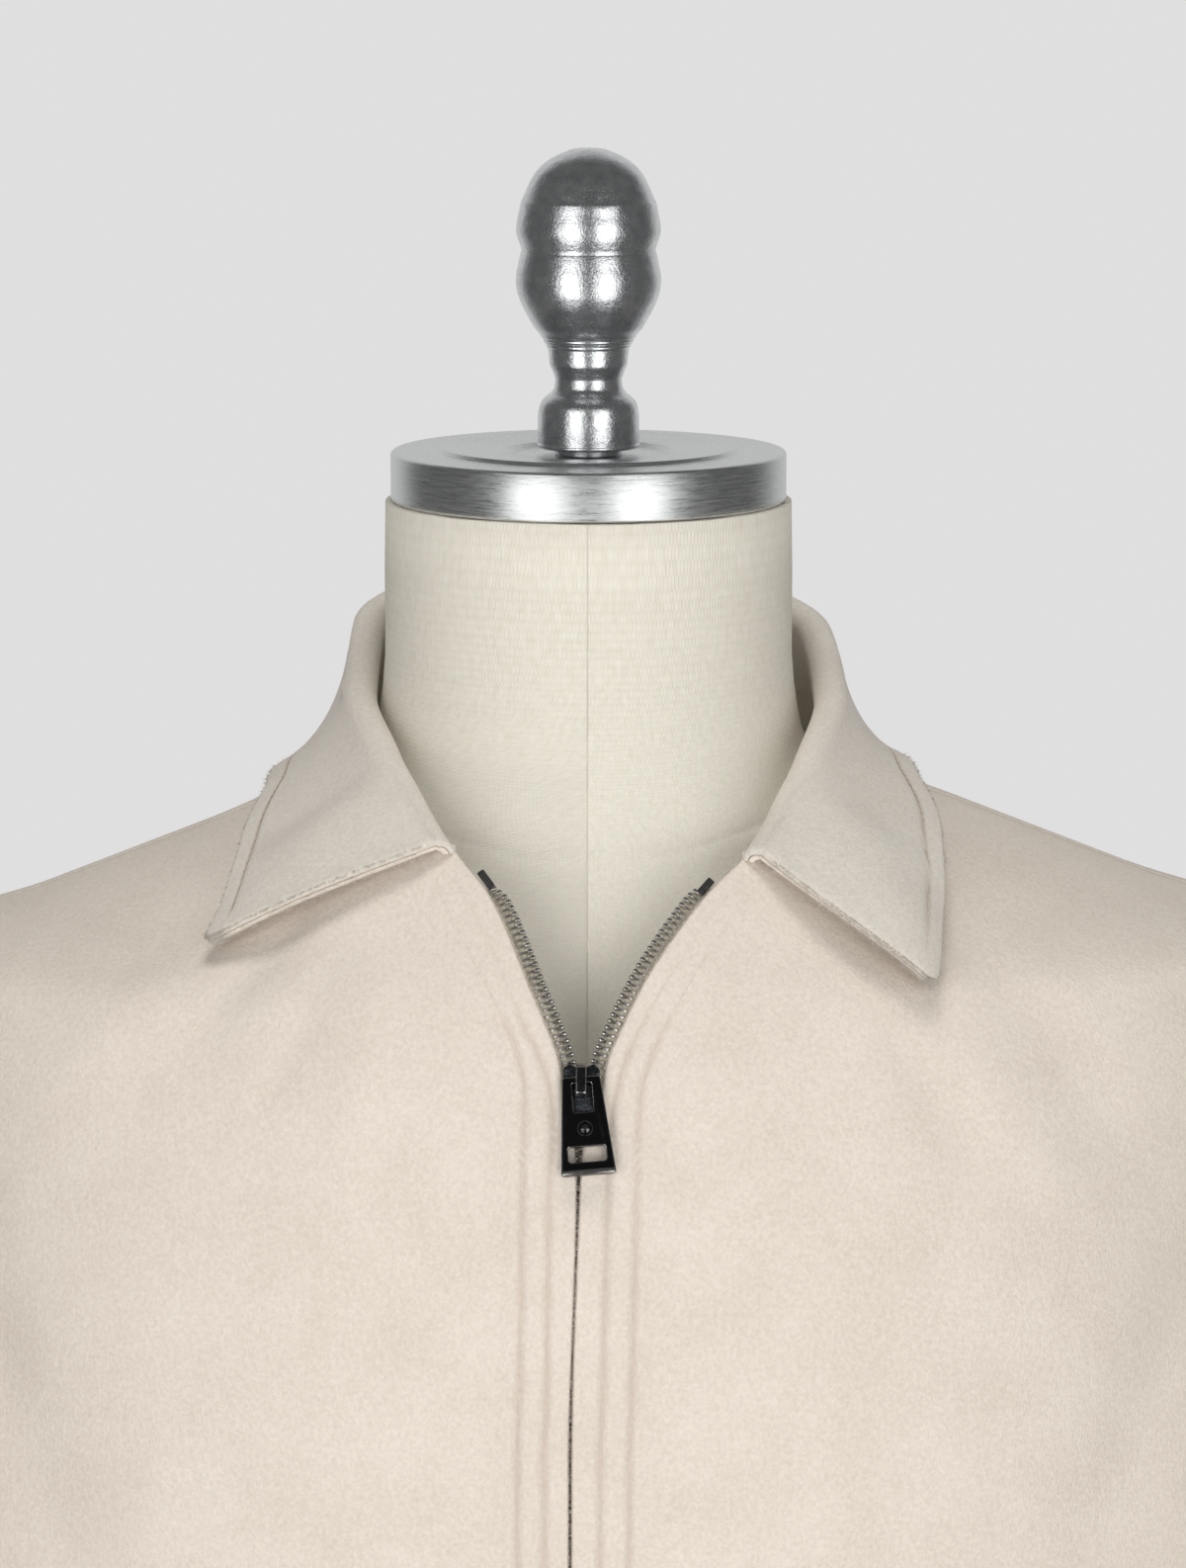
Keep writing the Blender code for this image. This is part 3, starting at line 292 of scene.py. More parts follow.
def fan_point(sections, azimuth, rise, top, folds=False):
    """The point where a line of the fan meets a shell."""
    azimuth, rise = np.broadcast_arrays(np.asarray(azimuth, float), np.asarray(rise, float))
    tilt = np.maximum(rise, 0) / FAN_RADIUS
    low_z = FAN_Z + np.minimum(rise, 0)
    near, far = np.full(azimuth.shape, FAN_NEAREST), np.full(azimuth.shape, FAN_FURTHEST)
    for _ in range(HALVINGS):
        middle = (near + far) / 2
        height = low_z + middle * np.sin(tilt)
        edge = reach(sections, azimuth, np.minimum(height, top))
        if folds:
            edge = edge + drape(azimuth, height)
        inside = (middle * np.cos(tilt) < edge) & (height < top)
        near, far = np.where(inside, middle, near), np.where(inside, far, middle)
    radius = near * np.cos(tilt)
    return dropped(
        np.stack(
            [radius * np.sin(azimuth), -radius * np.cos(azimuth), low_z + near * np.sin(tilt)], -1
        )
    )


def dropped(points):
    """Points with the wearer's right shoulder let down."""
    share = smooth_step(-points[..., 0], *DROP_X) * smooth_step(points[..., 2], *DROP_Z)
    return points - SHOULDER_DROP * share[..., None] * np.array([0, 0, 1])


def coat_point(azimuth, rise):
    return fan_point(COAT_SECTIONS, azimuth, rise, NECK_TOP, folds=True)


def coat_normal(azimuth, rise):
    turn, climb = 0.004, 0.0008
    along = coat_point(azimuth + turn, rise) - coat_point(azimuth - turn, rise)
    up = coat_point(azimuth, rise + climb) - coat_point(azimuth, rise - climb)
    return unit(np.cross(along, up))


def fan_rise(degrees):
    return FAN_RADIUS * np.radians(degrees)


def azimuth_at(x, rise):
    """The azimuth near the front where the shell has this x."""
    azimuth = np.zeros_like(np.asarray(x, float) + rise)
    for _ in range(8):
        point = coat_point(azimuth, rise)
        azimuth = np.arcsin(np.clip(x / np.hypot(point[..., 0], point[..., 1]), -1, 1))
    return azimuth


print("chest front at", coat_point(0.0, 0.0).round(4))

# %% [markdown]
# ## Where the panels end
#
# A tailor cuts a coat as two fronts, a back and two sleeves. Each border is a curve on the shell:
# the zip edges, the neckline, the shoulder and side seams, and an oval armhole. The inside of a
# panel is filled from its four borders and then evened out, because a plain blend of borders
# folds over itself beside an armhole.

# %% Border curves
# fan angle in degrees, x of the wearer's right edge, x of the left edge
FRONT_EDGES = (
    (-220.0, -0.0064, -0.0056),
    (0.0, -0.0056, -0.0048),
    (30.0, -0.0034, -0.0023),
    (34.0, -0.0040, -0.0014),
    (37.0, -0.0064, 0.0026),
    (42.2, -0.0083, 0.0054),
    (46.0, -0.0125, 0.0103),
    (50.0, -0.0179, 0.0167),
    (54.0, -0.0232, 0.0256),
    (57.4, -0.0291, 0.0354),
    (59.9, -0.0362, 0.0452),
    (61.3, -0.0401, 0.0510),
)
# azimuth in degrees, fan angle of the neckline on the wearer's right, and on the left
NECKLINE = ((26.1, 61.3, 60.0), (55.0, 63.2, 62.6), (90.0, 64.5, 64.5), (180.0, 66.0, 66.0))
NECK_CORNERS = {-1: radians(26.1), 1: radians(29.6)}
ARMHOLE_TOP, ARMHOLE_BOTTOM = 0.0962, -0.1000  # rise
ARMHOLE_FRONT, ARMHOLE_BACK = 19.0, 17.0  # half widths in degrees of azimuth
ROWS_LOW, ROWS_HIGH = 10, 14  # coarse rows below and above the underarm
NECK_COLUMNS, BACK_NECK_COLUMNS, SHOULDER_COLUMNS = 7, 12, 5
STRIP, HALF_FRONT = 0.0180, 0.390
# where the underarm's row meets the back, as a share of its height, and a front, as a rise
BACK_LEVEL, FRONT_LEVEL, EDGE_CROWDING, RELAX_ROUNDS = 0.66, -0.110, 1.5, 400


def front_edge(rise, side, past=0.0):
    """Azimuth of a front edge, moved past it towards the zip by this many metres."""
    right, left = eased(FRONT_EDGES, np.degrees(np.asarray(rise, float) / FAN_RADIUS))
    return azimuth_at(right + past if side < 0 else left - past, rise)


def neckline(azimuth, side):
    right, left = eased(NECKLINE, np.degrees(np.abs(azimuth)))
    return fan_rise(right if side < 0 else left)


def armhole(turn, grow=0.0):
    """Azimuth and rise on the armhole. The turn is 0 at the shoulder, + towards the front."""
    middle, half = (ARMHOLE_TOP + ARMHOLE_BOTTOM) / 2, (ARMHOLE_TOP - ARMHOLE_BOTTOM) / 2
    wide = np.where(np.sin(turn) > 0, ARMHOLE_FRONT, ARMHOLE_BACK)
    spread = (np.radians(wide) + grow / ARM_REACH) * np.sin(turn)
    return pi / 2 - spread, middle + (half + grow) * np.cos(turn)


def pairs(azimuth, rise):
    return np.stack(np.broadcast_arrays(azimuth, rise), -1)


def parts(rows):
    """How far each row is up the side seam, and up the armhole."""
    return np.clip(rows / ROWS_LOW, 0, 1), np.clip((rows - ROWS_LOW) / ROWS_HIGH, 0, 1)


def side_border(rows, back):
    """The side seam, then the armhole up to the shoulder, for the wearer's left."""
    low, high = parts(rows)
    turn = pi * (1 - high)
    arm_azimuth, arm_rise = armhole(-turn if back else turn, SEAM)
    rise = np.where(high > 0, arm_rise, mixed(HEM_Z - FAN_Z, ARMHOLE_BOTTOM - SEAM, low))
    azimuth = np.where(high > 0, arm_azimuth, pi / 2)
    half_gap = SEAM / 2 / ARM_REACH
    near = np.maximum if back else np.minimum
    return pairs(near(azimuth, pi / 2 + (half_gap if back else -half_gap)), rise)


def shoulder_seam(part, back):
    """Points from the neckline, at part 0, out to the armhole, for the wearer's left."""
    gap = mixed(SEAM / 2 / NECK_REACH, SEAM / 2 / ARM_REACH, part)
    rise = mixed(neckline(pi / 2, 1), ARMHOLE_TOP + SEAM, part)
    return pairs(pi / 2 + (gap if back else -gap), rise)


def front_borders(side, rows, columns):
    """Bottom, top, zip edge and side of a front, with how far across and up each line is."""
    low, high = parts(rows)
    corner = NECK_CORNERS[side]
    top_rise = float(neckline(corner, side))
    edge_rise = np.where(
        high > 0,
        mixed(FRONT_LEVEL, top_rise, 1 - (1 - high) ** EDGE_CROWDING),
        mixed(HEM_Z - FAN_Z, FRONT_LEVEL, low),
    )
    start = pairs(front_edge(edge_rise, side) * side, edge_rise)
    start[-1, 0] = corner
    end = side_border(rows, back=False)
    turns = mixed(corner, pi / 2, np.clip(columns / NECK_COLUMNS, 0, 1))
    out = np.clip((columns - NECK_COLUMNS) / SHOULDER_COLUMNS, 0, 1)
    neck, seam = pairs(turns, neckline(turns, side)), shoulder_seam(out, back=False)
    top = np.where(columns[:, None] < NECK_COLUMNS, neck, seam)
    first, last = STRIP / HALF_FRONT, NECK_COLUMNS + SHOULDER_COLUMNS
    across = np.where(columns < 1, first * columns, mixed(first, 1, (columns - 1) / (last - 1)))
    bottom = pairs(mixed(start[0, 0], end[0, 0], across), HEM_Z - FAN_Z)
    up = (edge_rise - edge_rise[0]) / (edge_rise[-1] - edge_rise[0])
    return bottom, top, start, end, across, up


def back_borders(rows, columns):
    """The same for the back, whose columns run from the wearer's left round to the right."""
    left = side_border(rows, back=True)
    right = np.stack([2 * pi - left[:, 0], left[:, 1]], -1)
    last = BACK_NECK_COLUMNS + 2 * SHOULDER_COLUMNS
    out = np.clip(1 - np.minimum(columns, last - columns) / SHOULDER_COLUMNS, 0, 1)
    seam = shoulder_seam(out, back=True)
    seam[:, 0] = np.where(columns > last / 2, 2 * pi - seam[:, 0], seam[:, 0])
    turns = pi / 2 + pi * np.clip((columns - SHOULDER_COLUMNS) / BACK_NECK_COLUMNS, 0, 1)
    neck = pairs(turns, neckline(np.minimum(turns, 2 * pi - turns), 1))
    top = np.where(out[:, None] > 0, seam, neck)
    across = columns / last
    bottom = pairs(mixed(left[0, 0], right[0, 0], across), HEM_Z - FAN_Z)
    low, high = parts(rows)
    up = np.where(high > 0, mixed(BACK_LEVEL, 1, high), low * BACK_LEVEL)
    return bottom, top, left, right, across, up


# %% Filling a panel
def coons(bottom, top, start, end, across, up):
    """Fills the four borders of a panel. Points are (azimuth, rise) pairs."""
    across, up = across[None, :, None], up[:, None, None]
    rails = (1 - up) * bottom[None] + up * top[None]
    sides = (1 - across) * start[:, None] + across * end[:, None]
    low = (1 - across) * bottom[0] + across * bottom[-1]
    high = (1 - across) * top[0] + across * top[-1]
    return rails + sides - ((1 - up) * low + up * high)


def relaxed(grid):
    """Evens out a grid inside its borders by Winslow's equations, which never fold it over."""
    scale = np.array([ARM_REACH, 1.0])
    points = grid * scale
    for _ in range(RELAX_ROUNDS):
        east, west = points[1:-1, 2:], points[1:-1, :-2]
        north, south = points[2:, 1:-1], points[:-2, 1:-1]
        along, up = (east - west) / 2, (north - south) / 2
        corners = points[2:, 2:] - points[2:, :-2] - points[:-2, 2:] + points[:-2, :-2]
        high = np.sum(up * up, axis=-1, keepdims=True)
        wide = np.sum(along * along, axis=-1, keepdims=True)
        skew = np.sum(along * up, axis=-1, keepdims=True)
        total = high * (east + west) + wide * (north + south) - skew * corners / 2
        points[1:-1, 1:-1] = total / (2 * (high + wide))
    return points / scale


def panel(borders, last_column, rows, columns):
    """A panel's (azimuth, rise) grid: solved coarsely, then read at fine rows and columns."""
    count = ROWS_LOW + ROWS_HIGH + 1
    coarse = relaxed(coons(*borders(np.arange(count) * 1.0, np.arange(last_column + 1) * 1.0)))
    table = np.column_stack([np.arange(count), coarse.reshape(count, -1)])
    tall = np.array(eased(table, rows)).reshape(last_column + 1, 2, len(rows))
    table = np.column_stack([np.arange(last_column + 1), tall.reshape(last_column + 1, -1)])
    grid = np.array(eased(table, columns)).reshape(2, len(rows), len(columns))
    grid = np.moveaxis(grid, 0, -1)
    bottom, top, start, end, across, up = borders(rows, columns)
    miss = (bottom - grid[0], top - grid[-1], start - grid[:, 0], end - grid[:, -1])
    grid = grid + coons(*miss, across, up)
    return grid[..., 0], grid[..., 1]


def stations(steps, first=(), last=()):
    """Positions along a row of cells, each split into its steps, with more near the ends."""
    even = [cell + step / count for cell, count in enumerate(steps) for step in range(count)]
    return np.unique(np.concatenate([even, [len(steps)], first, len(steps) - np.array(last)]))


FRONT_ROWS = stations([6] * ROWS_LOW + [7] * ROWS_HIGH, (0.006, 0.015, 0.03), (0.05, 0.13, 0.25))
FRONT_COLUMNS = stations([44, 16] + [5] * 10, (0.006, 0.015), (0.012, 0.03, 0.06))
BACK_COLUMNS = stations([5] * 22, (0.012, 0.03, 0.06), (0.012, 0.03, 0.06))
print("front grid:", len(FRONT_ROWS), "rows,", len(FRONT_COLUMNS), "columns")

# %% [markdown]
# ## Making meshes
#
# Every piece of cloth is a closed wall: an outer face, an inner face and a rim. Thick brushed wool has
# no sharp edge, so both faces bend towards each other near the rim. Where two panels meet, their two
# bent edges read as a seam. Repeated small things, such as teeth and stitches, are one shape stamped at
# many places and joined into one light mesh.

# %% Mesh makers
def add_piece(name, points, faces, finish, uv=None, sharp=None):
    """A closed mesh as an object, its faces turned outward."""
    mesh = bpy.data.meshes.new(name)
    mesh.from_pydata(np.asarray(points).tolist(), [], [list(map(int, face)) for face in faces])
    shape = bmesh.new()
    shape.from_mesh(mesh)
    bmesh.ops.recalc_face_normals(shape, faces=shape.faces)
    if shape.calc_volume(signed=True) < 0:
        bmesh.ops.reverse_faces(shape, faces=shape.faces)
    shape.to_mesh(mesh)
    shape.free()
    if uv is not None:
        corner = np.empty(len(mesh.loops), np.int32)
        mesh.loops.foreach_get("vertex_index", corner)
        layer = mesh.uv_layers.new(name="cloth")
        layer.data.foreach_set("uv", np.asarray(uv, np.float32)[corner].ravel())
    mesh.shade_smooth()
    if sharp:
        mesh.set_sharp_from_angle(angle=radians(sharp))
    mesh.materials.append(finish)
    made = bpy.data.objects.new(name, mesh)
    scene.collection.objects.link(made)
    return made


def wall_faces(rows, columns, ring):
    """Quads of a wall between two grids of points: outer first, then inner."""
    at = np.arange(rows * columns).reshape(rows, columns)
    if ring:
        at = np.concatenate([at, at[:, :1]], axis=1)
    quads = np.stack([at[:-1, :-1], at[:-1, 1:], at[1:, 1:], at[1:, :-1]], -1).reshape(-1, 4)
    layer = rows * columns
    faces = [quads, quads[:, ::-1] + layer]
    rims = [(at[0, ::-1]), (at[-1])]
    if not ring:
        rims += [at[:, 0], at[::-1, -1]]
    for rim in rims:
        faces.append(np.stack([rim[:-1], rim[:-1] + layer, rim[1:] + layer, rim[1:]], -1))
    return np.concatenate(faces)


def lengths(points, axis):
    """Distance along a grid's lines, from the first point of each."""
    steps = np.linalg.norm(np.diff(points, axis=axis), axis=-1)
    start = np.zeros_like(np.take(steps, [0], axis=axis))
    return np.concatenate([start, np.cumsum(steps, axis=axis)], axis=axis)


def edge_distance(points, ring):
    """How far each point of a grid is from its nearest border, along the grid's lines."""
    up = lengths(points, 0)
    away = np.minimum(up, up[-1] - up)
    if ring:
        return away
    across = lengths(points, 1)
    return np.minimum(away, np.minimum(across, across[:, -1:] - across))


def rounding(away, soft):
    """How far a face drops towards its border, as a quarter circle."""
    gap = soft - np.minimum(away, soft)
    return (soft - np.sqrt(soft**2 - gap**2))[..., None]


EDGE_SHARE = 0.44  # how much of a wall's thickness each face gives to its rounded edge


def cloth_wall(name, outer, normal, finish, thick=WALL, ring=False, soft=None, drawn=None):
    """A wall of cloth with soft edges, from its outer points and normals. soft is the rounding of its
    outer and inner face, and drawn is a mask of painted shade along a stitched line, where the thread
    pulls the cloth in."""
    outside, inside = soft or (thick * EDGE_SHARE, thick * EDGE_SHARE)
    away = edge_distance(outer, ring)
    face = outer - normal * rounding(away, outside)
    back = outer - normal * (thick - rounding(away, inside))
    uv = np.stack([lengths(outer, 1), lengths(outer, 0)], -1).reshape(-1, 2)
    faces = wall_faces(*outer.shape[:2], ring)
    points = np.concatenate([face, back]).reshape(-1, 3)
    piece = add_piece(name, points, faces, finish, np.tile(uv, (2, 1)))
    if drawn is not None:
        # the mask of painted groove shade goes on the outer face only
        mask = piece.data.attributes.new("drawn", "FLOAT", "POINT")
        both_faces = np.concatenate([drawn.ravel(), 0 * drawn.ravel()])
        mask.data.foreach_set("value", both_faces.astype(np.float32))
    return piece


def grid_normals(points, ring=False):
    """Normals of a grid of points, by the directions to its neighbours."""
    up = np.gradient(points, axis=0)
    if ring:
        across = np.roll(points, -1, axis=1) - np.roll(points, 1, axis=1)
    else:
        across = np.gradient(points, axis=1)
    return unit(np.cross(across, up))


def stamped(name, shape, faces, turns, places, finish, scale=None, sharp=None):
    """One mesh of many copies of a shape. turns are 3 x 3 matrices whose columns are its axes."""
    shape = np.asarray(shape, float)
    sized = shape[None] if scale is None else shape[None] * scale[:, None, :]
    points = np.einsum("nij,nkj->nki", turns, np.broadcast_to(sized, (len(places), *shape.shape)))
    points = (points + places[:, None]).reshape(-1, 3)
    every = [
        [corner + copy * len(shape) for corner in face] for copy in range(len(places)) for face in faces
    ]
    return add_piece(name, points, every, finish, sharp=sharp)


def finished(piece, slot, *nodes, body="root"):
    """Fastens a piece to its body and hides the solids that it stands for. slot is not used."""
    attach(piece, body)
    if nodes:
        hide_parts(*nodes)
    triangles = sum(len(face.vertices) - 2 for face in piece.data.polygons)
    print(f"{piece.name}: {triangles} triangles")
    return piece


# %% [markdown]
# ## Finishes
#
# Four effects come back in several materials, so each is a node group with named inputs: the nap
# of brushed wool, a plain weave, the fine lines that turning leaves in metal, and wear where an
# edge is rubbed bright. A group only hands out colours, masks and heights. The shader that uses
# them stays in the material.

# %% Node groups
def new_group(name, inputs, outputs):
    """An empty node group with its sockets, and its input and output nodes."""
    group = bpy.data.node_groups.new(name, "ShaderNodeTree")
    for socket, kind, value in inputs:
        made = group.interface.new_socket(socket, in_out="INPUT", socket_type=f"NodeSocket{kind}")
        made.default_value = value
    for socket, kind in outputs:
        group.interface.new_socket(socket, in_out="OUTPUT", socket_type=f"NodeSocket{kind}")
    return group, group.nodes.new("NodeGroupInput").outputs, group.nodes.new("NodeGroupOutput").inputs


def noise(tree, vector, scale, detail=2.0, roughness=0.5):
    made = add_node(
        tree, "ShaderNodeTexNoise", Vector=vector, Scale=scale, Detail=detail, Roughness=roughness
    )
    return made.outputs["Fac"]


def blend(tree, factor, first, second):
    """A mix of two colours."""
    made = tree.nodes.new("ShaderNodeMix")
    made.data_type = "RGBA"
    for socket, value in zip((made.inputs[0], made.inputs[6], made.inputs[7]), (factor, first, second)):
        if isinstance(value, bpy.types.NodeSocket):
            tree.links.new(value, socket)
        else:
            socket.default_value = value
    return made.outputs[2]


def ranged(tree, value, low, high, to_low=0.0, to_high=1.0):
    return add_node(
        tree, "ShaderNodeMapRange", Value=value,
        From_Min=low, From_Max=high, To_Min=to_low, To_Max=to_high,
    ).outputs[0]


def stretched(tree, vector, scale, turn=(0, 0, 0)):
    """A vector scaled unevenly, for effects that run one way."""
    return add_node(
        tree, "ShaderNodeMapping", Vector=vector, Scale=scale, Rotation=turn
    ).outputs[0]


nap, given, out = new_group(
    "brushed nap",
    [("Base", "Color", (0.7, 0.64, 0.56, 1)), ("Shade", "Color", (0.6, 0.54, 0.46, 1)),
     ("Cloudiness", "Float", 0.5)],
    [("Colour", "Color"), ("Height", "Float")],
)
where = add_node(nap, "ShaderNodeTexCoord").outputs["Object"]
clouds = ranged(nap, noise(nap, where, 34.0, 3.0), 0.35, 0.65)
specks = ranged(nap, noise(nap, where, 760.0, 3.0, 0.7), 0.34, 0.66)
tufts = noise(nap, where, 420.0, 4.0, 0.7)
hairs = noise(nap, stretched(nap, where, (1700, 1700, 520), (0.5, 0.35, 0)), 1.0, 2.0, 0.7)
dark = calc(nap, "MULTIPLY", clouds, given["Cloudiness"])
dark = calc(nap, "ADD", dark, calc(nap, "MULTIPLY", specks, 0.75))
dark = calc(nap, "ADD", dark, calc(nap, "MULTIPLY", hairs, 0.40))
nap.links.new(blend(nap, calc(nap, "MULTIPLY", dark, 0.6), given["Base"], given["Shade"]), out["Colour"])
height = calc(nap, "ADD", calc(nap, "MULTIPLY", tufts, 0.6), calc(nap, "MULTIPLY", hairs, 0.4))
nap.links.new(height, out["Height"])

weave, given, out = new_group(
    "plain weave",
    [("Threads", "Float", 1800.0)],
    [("Height", "Float"), ("Shade", "Float")],
)
uv = add_node(weave, "ShaderNodeUVMap", {"uv_map": "cloth"}).outputs["UV"]
flat = add_node(weave, "ShaderNodeSeparateXYZ", Vector=uv).outputs
warp = calc(weave, "MULTIPLY", flat["X"], given["Threads"])
weft = calc(weave, "MULTIPLY", flat["Y"], given["Threads"])
crossing = calc(weave, "ADD", calc(weave, "FLOOR", warp), calc(weave, "FLOOR", weft))
over = calc(weave, "PINGPONG", crossing, 1.0)
warp_round = calc(weave, "ABSOLUTE", calc(weave, "SINE", calc(weave, "MULTIPLY", warp, pi)))
weft_round = calc(weave, "ABSOLUTE", calc(weave, "SINE", calc(weave, "MULTIPLY", weft, pi)))
upper = calc(weave, "MULTIPLY", warp_round, over)
under = calc(weave, "MULTIPLY", weft_round, calc(weave, "SUBTRACT", 1.0, over))
height = calc(weave, "ADD", upper, under)
weave.links.new(height, out["Height"])
slub = noise(weave, stretched(weave, uv, (500, 1500, 1)), 1.0, 2.0)
slub = calc(weave, "ADD", slub, noise(weave, stretched(weave, uv, (1500, 500, 1)), 1.0, 2.0))
weave.links.new(calc(weave, "ADD", calc(weave, "MULTIPLY", height, 0.3), slub), out["Shade"])

turned, given, out = new_group(
    "turned lines",
    [("Fineness", "Float", 2600.0)],
    [("Height", "Float"), ("Streak", "Float")],
)
where = add_node(turned, "ShaderNodeTexCoord").outputs["Object"]
spot = add_node(turned, "ShaderNodeSeparateXYZ", Vector=where).outputs
square_x = calc(turned, "MULTIPLY", spot["X"], spot["X"])
square_y = calc(turned, "MULTIPLY", spot["Y"], spot["Y"])
radius = calc(turned, "SQRT", calc(turned, "ADD", square_x, square_y))
angle = calc(turned, "ARCTAN2", spot["Y"], spot["X"])


def ring_vector(fineness, around):
    """Radius, height and angle as a vector, so that noise read there runs round the axis."""
    return add_node(
        turned, "ShaderNodeCombineXYZ", X=calc(turned, "MULTIPLY", radius, fineness),
        Y=calc(turned, "MULTIPLY", spot["Z"], fineness), Z=calc(turned, "MULTIPLY", angle, around),
    ).outputs[0]


fine_lines = noise(turned, ring_vector(given["Fineness"], 4.0), 1.0, 3.0, 0.65)
scratches = noise(turned, ring_vector(1500.0, 10.0), 1.0, 2.0, 0.6)
turned.links.new(fine_lines, out["Height"])
turned.links.new(calc(turned, "ADD", calc(turned, "MULTIPLY", fine_lines, 0.6),
                      calc(turned, "MULTIPLY", scratches, 0.4)), out["Streak"])

worn, given, out = new_group(
    "rubbed edges",
    [("Reach", "Float", 0.52)],
    [("Mask", "Float")],
)
sharpness = add_node(worn, "ShaderNodeNewGeometry").outputs["Pointiness"]
where = add_node(worn, "ShaderNodeTexCoord").outputs["Object"]
patchy = calc(worn, "MULTIPLY", calc(worn, "SUBTRACT", noise(worn, where, 500.0), 0.5), 0.05)
edge = calc(worn, "ADD", calc(worn, "SUBTRACT", sharpness, given["Reach"]), patchy)
worn.links.new(ranged(worn, edge, 0.0, 0.06), out["Mask"])
print("groups:", [group.name for group in bpy.data.node_groups])


# %% Materials
def start_material(name, roughness, metallic=0.0, colour=(0.5, 0.5, 0.5), **sockets):
    """A material with its shader, and its node tree."""
    made = bpy.data.materials.new(name)
    made.use_nodes = True
    tree = made.node_tree
    shader = tree.nodes["Principled BSDF"]
    shader.inputs["Base Color"].default_value = (*colour, 1)
    shader.inputs["Roughness"].default_value = roughness
    shader.inputs["Metallic"].default_value = metallic
    for socket, value in sockets.items():
        shader.inputs[socket.replace("_", " ")].default_value = value
    return made, tree, shader


def use_group(tree, group, **inputs):
    return add_node(tree, "ShaderNodeGroup", {"node_tree": group}, **inputs).outputs


def bumped(tree, shader, height, distance, strength=1.0):
    """Feeds a height to the shader as relief of a real depth."""
    bump = add_node(tree, "ShaderNodeBump", Height=height, Distance=distance, Strength=strength)
    tree.links.new(bump.outputs[0], shader.inputs["Normal"])


def wool_material(name, base, shade, cloudiness):
    """Brushed wool: matt, faintly bright where it turns away, mottled by its nap."""
    made, tree, shader = start_material(
        name, 0.92, Sheen_Weight=0.22, Sheen_Roughness=0.45, Sheen_Tint=(1.0, 0.95, 0.90, 1),
        Specular_IOR_Level=0.20,
    )
    fibres = use_group(tree, nap, Base=base, Shade=shade, Cloudiness=cloudiness)
    # painted shade: the wool darkens where the drawn mask marks the bottom of a stitched groove
    drawn = add_node(tree, "ShaderNodeAttribute", {"attribute_name": "drawn"}).outputs["Fac"]
    colour = blend(tree, drawn, fibres["Colour"], GROOVE_SHADE_WOOL)
    tree.links.new(colour, shader.inputs["Base Color"])
    bumped(tree, shader, fibres["Height"], 0.00055, 1.0)
    return made


def woven_material(name, base, shade, threads, depth):
    """A flat weave: linen on the form, cotton tape on the zip."""
    made, tree, shader = start_material(name, 0.88, Specular_IOR_Level=0.25)
    cloth = use_group(tree, weave, Threads=threads)
    mask = ranged(tree, cloth["Shade"], 0.75, 1.5)
    tree.links.new(blend(tree, mask, shade, base), shader.inputs["Base Color"])
    bumped(tree, shader, cloth["Height"], depth, 0.8)
    return made


def metal_material(name, base, bright, roughness, reach, grain=900.0, depth=0.00002):
    """Plated metal, rubbed bright along its edges, with a faint uneven polish."""
    made, tree, shader = start_material(name, roughness, metallic=1.0)
    mask = use_group(tree, worn, Reach=reach)["Mask"]
    tree.links.new(blend(tree, mask, base, bright), shader.inputs["Base Color"])
    where = add_node(tree, "ShaderNodeTexCoord").outputs["Object"]
    polish = noise(tree, where, grain, 3.0)
    uneven = ranged(tree, polish, 0.3, 0.7, roughness * 0.75, roughness * 1.3)
    tree.links.new(uneven, shader.inputs["Roughness"])
    bumped(tree, shader, polish, depth)
    return made


def brushed_material():
    """Aluminium from the lathe: bright, with fine lines round the axis."""
    made, tree, shader = start_material("turned aluminium", 0.32, metallic=1.0)
    lines = use_group(tree, turned)
    streaks = ranged(tree, lines["Streak"], 0.28, 0.66)
    colour = blend(tree, streaks, (0.52, 0.535, 0.54, 1), (0.84, 0.85, 0.85, 1))
    tree.links.new(colour, shader.inputs["Base Color"])
    tree.links.new(ranged(tree, lines["Streak"], 0.35, 0.65, 0.22, 0.38), shader.inputs["Roughness"])
    bumped(tree, shader, lines["Height"], 0.00010, 1.0)
    return made


def cast_material():
    """Cast aluminium: polished, but pitted and rippled by the mould."""
    made, tree, shader = start_material("cast aluminium", 0.2, metallic=1.0)
    where = add_node(tree, "ShaderNodeTexCoord").outputs["Object"]
    ripple = noise(tree, where, 330.0, 3.0, 0.55)
    pits = noise(tree, where, 1500.0, 3.0, 0.65)
    height = calc(tree, "ADD", calc(tree, "MULTIPLY", ripple, 0.6), calc(tree, "MULTIPLY", pits, 0.5))
    colour = blend(tree, ranged(tree, ripple, 0.3, 0.7), (0.60, 0.62, 0.63, 1), (0.80, 0.81, 0.82, 1))
    tree.links.new(colour, shader.inputs["Base Color"])
    tree.links.new(ranged(tree, pits, 0.3, 0.7, 0.14, 0.30), shader.inputs["Roughness"])
    bumped(tree, shader, height, 0.00016, 1.0)
    return made


def paint_material():
    """Satin paint over steel and cast iron, with a faint orange peel."""
    made, tree, shader = start_material("stand paint", 0.42, metallic=0.0, Coat_Weight=0.15)
    where = add_node(tree, "ShaderNodeTexCoord").outputs["Object"]
    peel = noise(tree, where, 260.0, 3.0)
    colour = blend(tree, peel, (0.19, 0.195, 0.2, 1), (0.25, 0.255, 0.26, 1))
    tree.links.new(colour, shader.inputs["Base Color"])
    bumped(tree, shader, peel, 0.0001, 0.6)
    return made


def thread_material(name, base, shade):
    """Twisted thread: fine slanting lines round each stitch."""
    made, tree, shader = start_material(name, 0.7, Sheen_Weight=0.2)
    where = add_node(tree, "ShaderNodeTexCoord").outputs["Object"]
    twist = noise(tree, where, 2500.0, 1.0)
    tree.links.new(blend(tree, twist, base, shade), shader.inputs["Base Color"])
    return made


